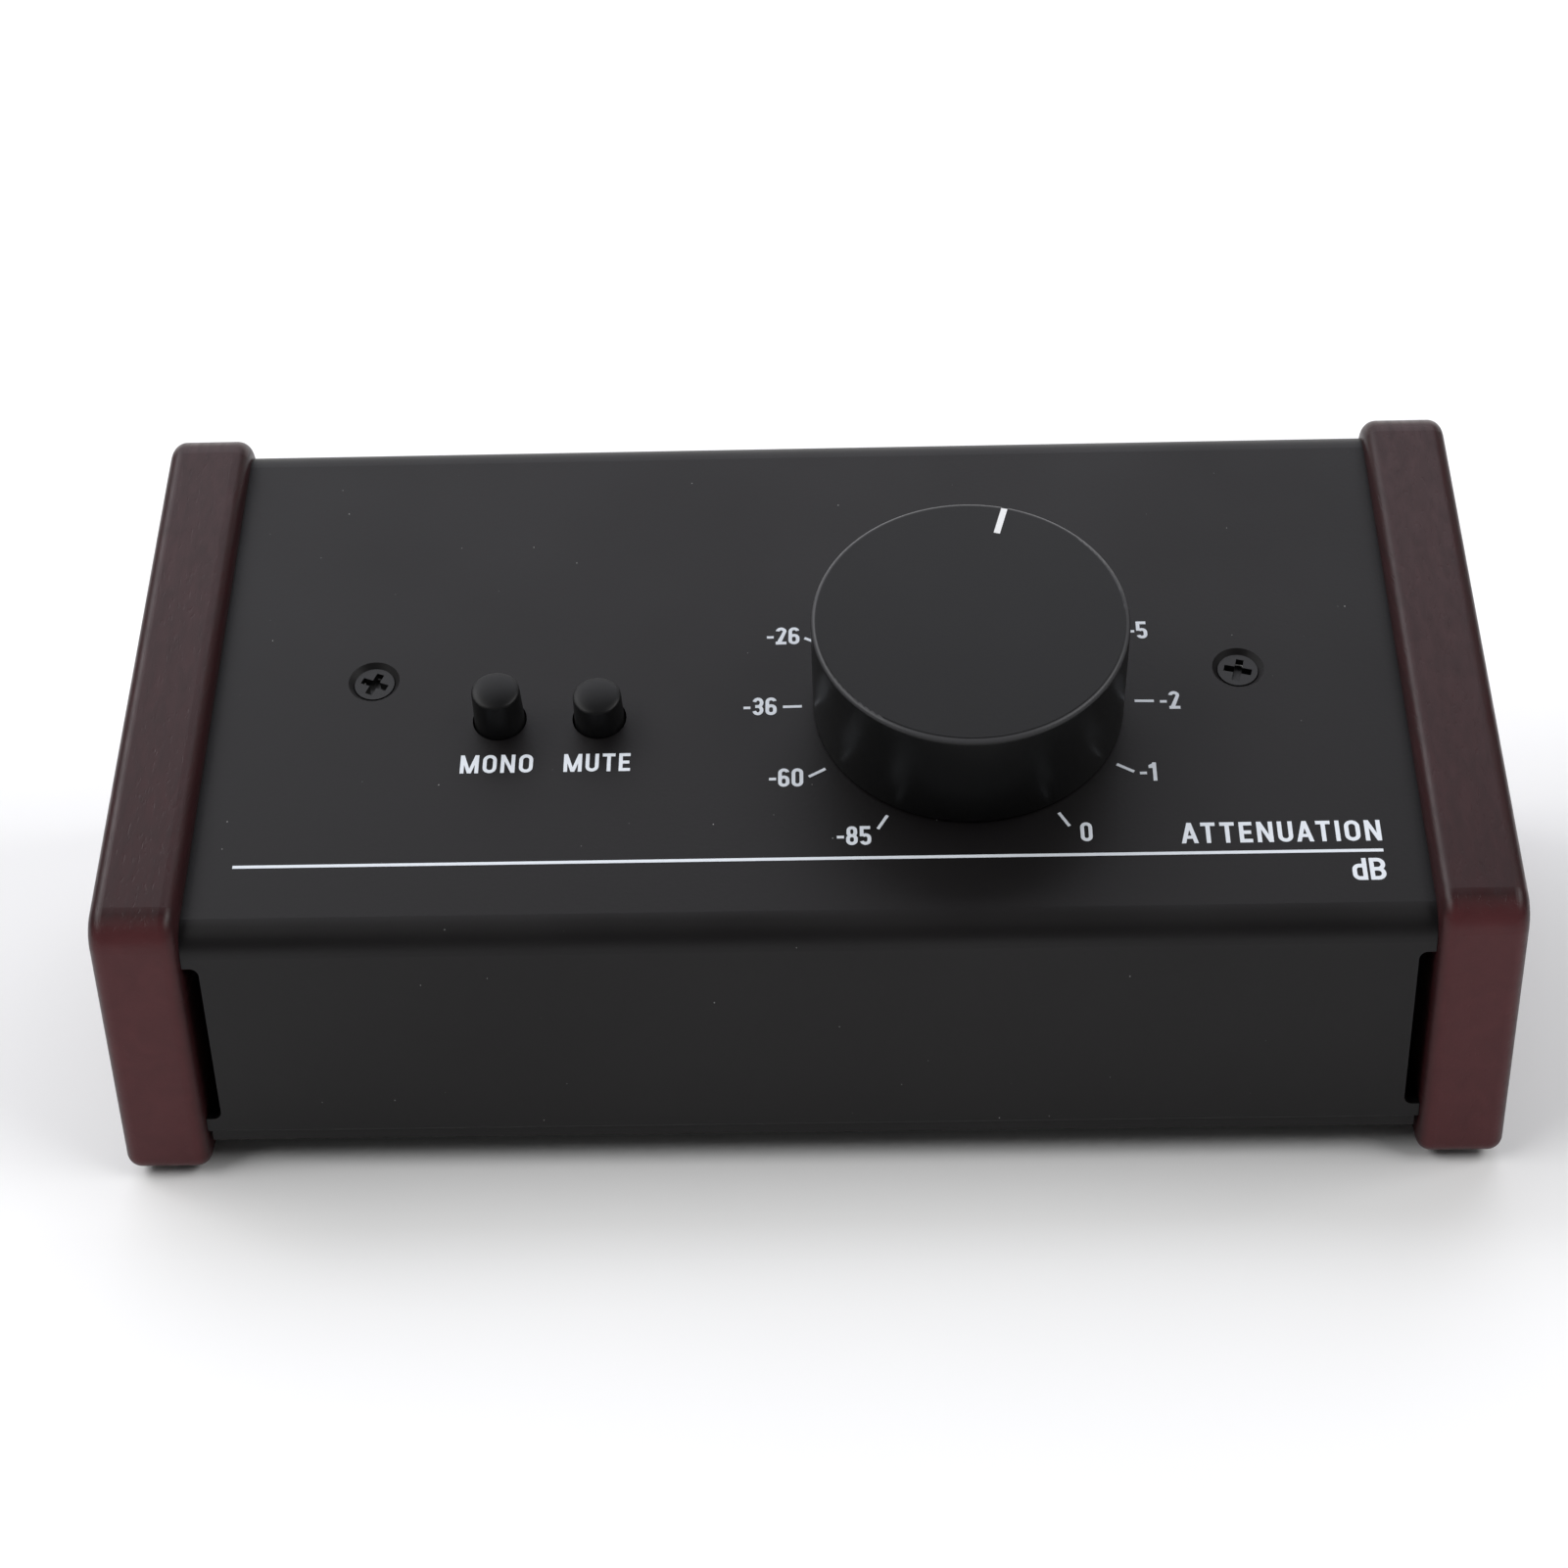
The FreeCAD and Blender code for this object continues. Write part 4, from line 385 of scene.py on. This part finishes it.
# Plain block letters. Every measure is a share of the letter height.
LETTER_WIDTH = {        # an I is as wide as its stroke
    "M": 0.80, "N": 0.62, "O": 0.60, "U": 0.58, "T": 0.56, "E": 0.50, "A": 0.66, "d": 0.54, "B": 0.58,
    "0": 0.50, "2": 0.48, "3": 0.48, "5": 0.48, "6": 0.49, "8": 0.49, "1": 0.33, "-": 0.30,
}
TUCK = {"AT": 0.07, "UA": 0.05}         # how much closer than usual two letters stand
BEND_STEPS = 7          # straight bits in each quarter of a bend
FEWEST_STEPS = 2
WAIST = 0.5             # height where the bowls of B, 3 and 8 meet
LOW_BOWL = 0.61         # height of the bowl of 5 and 6
SHORT = 0.74            # height of a small letter's bowl
FLAG_LOW = 0.70         # lower edge of the flag of 1
FLAG_END = 0.84         # upper edge of the flag at its left end
DASH_LOW = 0.36         # lower edge of the dash
SAME_POINT = 0.00001    # corners nearer than this are one

# Shares of the stroke's thickness.
A_BAR = (1.3, 2.2)      # lower and upper edge of the bar of A
TWO_FOOT = 1.3          # width of the leg of 2 where it stands
FLAG_TIP = 0.6          # width of the flag of 1 at the top
DASH_THICK = 0.85
SHORT_ARM = 0.25        # how much the waist of E and the top of 5 end before the letter does
SLIM = 0.125            # how much narrower the upper bowl of 8 is on each side

# Degrees, anticlockwise from the right, at which open bends end.
TWO_END = 170
THREE_END = 165
FIVE_TOP_END = 140
FIVE_FOOT_END = 195
SIX_END = 15


def bar(left, low, right, high):
    return [(left, low), (right, low), (right, high), (left, high)]


def slant(low_left, high_left, thick):
    """Leg that leans, cut level at its ends."""
    return [(low_left, 0.0), (low_left + thick, 0.0), (high_left + thick, 1.0), (high_left, 1.0)]


def bend(middle, radii, first, last, thick):
    """Part of an oval band, from one angle to another in degrees."""
    count = max(FEWEST_STEPS, round((last - first) / 90 * BEND_STEPS))
    turns = [math.radians(first + (last - first) * k / count) for k in range(count + 1)]
    outer = [(middle[0] + radii[0] * math.cos(a), middle[1] + radii[1] * math.sin(a)) for a in turns]
    inner = [(middle[0] + (radii[0] - thick) * math.cos(a), middle[1] + (radii[1] - thick) * math.sin(a))
             for a in reversed(turns)]
    return outer + inner


def bowl(box, thick, closed=True):
    """Ring with round ends that fills a box, or the left half of one, as bends and walls."""
    left, low, right, high = box
    radius = (right - left) / 2
    rise = min(radius, (high - low) / 2)
    middle = (left + right) / 2
    sweep = 180 if closed else 90
    shapes = [bend((middle, high - rise), (radius, rise), 180 - sweep, 180, thick),
              bend((middle, low + rise), (radius, rise), 180, 180 + sweep, thick),
              bar(left, low + rise, left + thick, high - rise)]
    if closed:
        shapes.append(bar(right - thick, low + rise, right, high - rise))
    return shapes


def stacked_bends(half, thick, upper_end, lower_end):
    """Right-hand bowls of B or 3. Each runs from the waist to its end's angle."""
    low_waist = WAIST - thick / 2
    high_waist = WAIST + thick / 2
    return [bend((half, (1 + low_waist) / 2), (half, (1 - low_waist) / 2), -90, upper_end, thick),
            bend((half, high_waist / 2), (half, high_waist / 2), lower_end, 90, thick)]


def straight_letters(wide, thick):
    """The bars and legs of the letters without bends. They may overlap."""
    stem = bar(0, 0, thick, 1)
    far_stem = bar(wide - thick, 0, wide, 1)
    top = bar(0, 1 - thick, wide, 1)
    foot = bar(0, 0, wide, thick)
    inner = wide / 2 - thick / 2        # left edge of a stroke on the middle line
    return {
        "A": [slant(0, inner, thick), slant(wide - thick, inner, thick),
              bar(thick, thick * A_BAR[0], wide - thick, thick * A_BAR[1])],
        "E": [stem, top, foot,
              bar(0, WAIST - thick / 2, wide - thick * SHORT_ARM, WAIST + thick / 2)],
        "I": [stem],
        "M": [stem, far_stem, slant(inner, 0, thick), slant(inner, wide - thick, thick)],
        "N": [stem, far_stem, slant(wide - thick, 0, thick)],
        "T": [top, bar(inner, 0, wide / 2 + thick / 2, 1)],
        "1": [far_stem, [(0, FLAG_LOW), (wide - thick, FLAG_LOW), (wide, 1),
                         (wide - thick * FLAG_TIP, 1), (0, FLAG_END)]],
        "-": [bar(0, DASH_LOW, wide, DASH_LOW + thick * DASH_THICK)],
    }


def round_letters(wide, thick):
    """The bars, legs and bends of the letters with bends. They may overlap."""
    half = wide / 2
    low_waist = WAIST - thick / 2
    high_waist = WAIST + thick / 2
    ring = bowl((0, 0, wide, 1), thick)
    return {
        "B": [bar(0, 0, thick, 1), *stacked_bends(half, thick, 90, -90), bar(0, 0, half, thick),
              bar(0, low_waist, half, high_waist), bar(0, 1 - thick, half, 1)],
        "d": [bar(wide - thick, 0, wide, 1), bar(half, 0, wide, thick),
              bar(half, SHORT - thick, wide, SHORT), *bowl((0, 0, wide, SHORT), thick, closed=False)],
        "O": ring,
        "U": [bar(0, half, thick, 1), bar(wide - thick, half, wide, 1),
              bend((half, half), (half, half), 180, 360, thick)],
        "0": ring,
        "2": [bend((half, 1 - half), (half, half), 0, TWO_END, thick), bar(0, 0, wide, thick),
              [(0, 0), (thick * TWO_FOOT, 0), (wide, 1 - half), (wide - thick, 1 - half)]],
        "3": [*stacked_bends(half, thick, THREE_END, -THREE_END), bar(half / 2, low_waist, half, high_waist)],
        "5": [bar(0, 1 - thick, wide - thick * SHORT_ARM, 1), bar(0, WAIST - thick / 4, thick, 1),
              bend((half, LOW_BOWL - half), (half, half), 0, FIVE_TOP_END, thick),
              bar(wide - thick, half, wide, LOW_BOWL - half),
              bend((half, half), (half, half), FIVE_FOOT_END, 360, thick)],
        "6": [*bowl((0, 0, wide, LOW_BOWL), thick), bar(0, half, thick, 1 - half),
              bend((half, 1 - half), (half, half), SIX_END, 180, thick)],
        "8": [*bowl((thick * SLIM, low_waist, wide - thick * SLIM, 1), thick),
              *bowl((0, 0, wide, high_waist), thick)],
    }


def merged(shapes):
    """Points and triangles of the area that flat shapes cover together."""
    points = []
    loops = []
    for shape in shapes:
        twice_area = sum(a[0] * b[1] - b[0] * a[1] for a, b in zip(shape, shape[1:] + shape[:1]))
        ring = shape if twice_area > 0 else shape[::-1]
        loops.append(list(range(len(points), len(points) + len(ring))))
        points += [Vector(point) for point in ring]
    corners, _, faces, _, _, origins = delaunay_2d_cdt(points, [], loops, 1, SAME_POINT)
    return corners, [face for face, origin in zip(faces, origins) if origin]


def letter_widths(words, stroke):
    return [LETTER_WIDTH.get(letter, stroke) for letter in words]


def tucks(words):
    """How much closer than usual each letter's follower stands. The last letter has none."""
    return [TUCK.get(first + second, 0.0) for first, second in zip(words, words[1:])] + [0.0]


# ---------------------------------------------------------------- print on the panel

# Places and lengths are millimetres on the panel, and strokes and gaps are shares of the letter height.
INK = 0.03              # thickness of the printed film
INK_SINK = 0.01         # how far the film reaches into the coat
RULE_UP = 11.0
RULE_LEFT = -71.4
RULE_RIGHT = 71.5
RULE_THICK = 0.45
TICK_INNER = 21.45      # from the dial's centre
TICK_OUTER = 23.9
TICK_THICK = 0.4
TICK_ANGLES = (0, 31, 62, 91.3, 120.6, 150)         # degrees to each side of straight up
NUMBER_PLACES = {       # dial number: the middle of its text
    "-85": (6.15, 14.5), "-60": (-2.35, 23.95), "-36": (-5.75, 35.8), "-26": (-2.8, 47.85),
    "-5": (43.7, 47.85), "-2": (47.05, 35.75), "-1": (43.45, 24.0), "0": (35.1, 14.55),
}
HIDDEN_NUMBERS = {"-18": -31, "-12": 0, "-8": 31}   # dial number: degrees clockwise from straight up
HIDDEN_RADIUS = 26.4
NUMBER_HEIGHT = 2.95
NUMBER_STROKE = 0.16
NUMBER_GAP = 0.09
LEGENDS = {             # words of a legend: left end, lower edge, width, height, stroke
    "MONO": (-44.0, 25.45, 9.3, 2.95, 0.165), "MUTE": (-30.75, 25.45, 8.5, 2.9, 0.165),
    "ATTENUATION": (46.8, 12.5, 24.75, 3.2, 0.168), "dB": (67.35, 6.45, 4.1, 3.35, 0.165),
}


def add_print(mesh, name, ink):
    add_to_chassis(name, mesh_data(mesh, name, ink))


def add_film(mesh, places, faces):
    """Closed film of ink over flat faces. Their corners count places on the panel anticlockwise."""
    used = sorted({corner for face in faces for corner in face})
    low = {corner: mesh.verts.new(on_panel(*places[corner], -INK_SINK)) for corner in used}
    high = {corner: mesh.verts.new(on_panel(*places[corner], INK)) for corner in used}
    for face in faces:
        mesh.faces.new([high[corner] for corner in face])
        mesh.faces.new([low[corner] for corner in reversed(face)])
    sides = [side for face in faces for side in zip(face, face[1:] + face[:1])]
    both_ways = set(sides)
    for first, second in sides:
        if (second, first) not in both_ways:
            mesh.faces.new((low[first], low[second], high[second], high[first]))


def add_stroke(mesh, start, end, thickness):
    """Bar of ink with square ends between two places on the panel."""
    along = Vector(end) - Vector(start)
    across = Vector((-along.y, along.x)).normalized() * thickness / 2
    corners = [Vector(start) - across, Vector(end) - across, Vector(end) + across, Vector(start) + across]
    add_film(mesh, corners, [[0, 1, 2, 3]])


def print_lines(ink):
    """The long rule and the dial's ticks."""
    rule = bmesh.new()
    add_stroke(rule, (RULE_LEFT, RULE_UP), (RULE_RIGHT, RULE_UP), RULE_THICK)
    add_print(rule, "printed_rule", ink)
    ticks = bmesh.new()
    for angle in sorted({side * angle for angle in TICK_ANGLES for side in (-1, 1)}):
        add_stroke(ticks, from_dial(angle, TICK_INNER), from_dial(angle, TICK_OUTER), TICK_THICK)
    add_print(ticks, "printed_ticks", ink)


def print_text(words, name, ink, middle, height, stroke, gap):
    """Words as one thin film about their middle."""
    mesh = bmesh.new()
    widths = letter_widths(words, stroke)
    left = -(sum(widths) - sum(tucks(words)) + gap * (len(words) - 1)) / 2
    for letter, width, tuck in zip(words, widths, tucks(words)):
        shapes = {**straight_letters(width, stroke), **round_letters(width, stroke)}
        points, faces = merged(shapes[letter])
        places = [(middle[0] + (point.x + left) * height, middle[1] + (point.y - 0.5) * height)
                  for point in points]
        add_film(mesh, places, faces)
        left += width + gap - tuck
    add_print(mesh, name, ink)


def print_words(ink):
    """The dial's numbers and the legends of the dial and the two buttons."""
    places = dict(NUMBER_PLACES)
    for number, angle in HIDDEN_NUMBERS.items():
        places[number] = from_dial(angle, HIDDEN_RADIUS)
    for number, place in places.items():
        name = f"dial_number_{number.strip('-')}"
        print_text(number, name, ink, place, NUMBER_HEIGHT, NUMBER_STROKE, NUMBER_GAP)
    for words, (left, low, width, height, stroke) in LEGENDS.items():
        middle = (left + width / 2, low + height / 2)
        letters = sum(letter_widths(words, stroke)) - sum(tucks(words))
        gap = (width / height - letters) / (len(words) - 1)
        print_text(words, f"legend_{words.lower()}", ink, middle, height, stroke, gap)


# ---------------------------------------------------------------- floor, light, camera

FLOOR_HALF = 4.0
FLOOR_ROUGHNESS = 0.8
FLOOR_SCALE = 12
WORLD_STRENGTH = 0.10
NO_TINT = (1.0, 1.0, 1.0)
SOFTBOXES = {           # place, the point it faces, width, height, brightness of its face, tint
    "back_softbox": ((-0.35, 0.889, 1.27), (-0.35, 0.0, 0.0), 2.2, 1.07, 1.9, (0.985, 0.99, 1.06)),
    "backdrop": ((0.0, 1.7, 0.45), (0.0, 0.0, 0.45), 3.0, 0.9, 1.4, NO_TINT),
    "left_softbox": ((-1.15, -0.2, 1.3), (0, -0.2, 0.03), 2.0, 0.7, 4.8, NO_TINT),
    "right_softbox": ((1.15, -0.35, 1.3), (0, -0.35, 0.03), 1.4, 0.6, 5.2, NO_TINT),
}
LENS = 69.78            # mm, on a sensor of this width
SENSOR = 36.0
CAMERA_PLACE = (6.938, -216.982, 300.674)       # mm across the panel, up it and out of it
CAMERA_TURN = (-2.281, 51.391, -2.682)          # yaw, pitch and roll in degrees


def add_floor():
    """Plain pale sheet that the controller stands on."""
    mesh = bmesh.new()
    bmesh.ops.create_grid(mesh, x_segments=1, y_segments=1, size=FLOOR_HALF)
    paper = plain("floor_paper", *FLOOR_TONES, FLOOR_ROUGHNESS, scale=FLOOR_SCALE, relief=0.0)
    add_object("floor", mesh_data(mesh, "floor", paper))


def add_softbox(name, place, target, width, height, brightness, tint):
    """Rectangular light whose face has the given radiance."""
    light = bpy.data.lights.new(name, "AREA")
    light.color = tint
    light.shape = "RECTANGLE"
    light.size = width
    light.size_y = height
    light.energy = brightness * math.pi * width * height
    lamp = add_object(name, light)
    lamp.location = place
    lamp.rotation_euler = (Vector(target) - Vector(place)).to_track_quat("-Z", "Y").to_euler()


def add_world():
    """Faint even light from all sides."""
    world = bpy.data.worlds.new("studio")
    world.use_nodes = True
    background = world.node_tree.nodes["Background"]
    background.inputs["Color"].default_value = (1.0, 1.0, 1.0, 1.0)
    background.inputs["Strength"].default_value = WORLD_STRENGTH
    bpy.context.scene.world = world


def add_camera():
    """Camera in front of the panel. Its place and its angles are against the panel, which leans back."""
    data = bpy.data.cameras.new("camera")
    data.lens = LENS
    data.sensor_width = SENSOR
    data.sensor_fit = "HORIZONTAL"
    camera = add_object("camera", data)
    yaw, pitch, roll = (math.radians(angle) for angle in CAMERA_TURN)
    turn = (Matrix.Rotation(SLOPE, 4, "X") @ Matrix.Rotation(-yaw, 4, "Z")
            @ Matrix.Rotation(math.pi / 2 - pitch, 4, "X") @ Matrix.Rotation(roll, 4, "Z"))
    camera.matrix_world = Matrix.Translation(on_panel(*CAMERA_PLACE)) @ turn
    bpy.context.scene.camera = camera


# ---------------------------------------------------------------- the scene

dress_nodes(make_materials())
add_return_springs()
ink = plain("printing_ink", *INK_TONES, 0.5, scale=900, relief=0.004)
print_lines(ink)
print_words(ink)
add_floor()
add_world()
for softbox, settings in SOFTBOXES.items():
    add_softbox(softbox, *settings)
add_camera()
bpy.context.scene.view_settings.view_transform = "Standard"
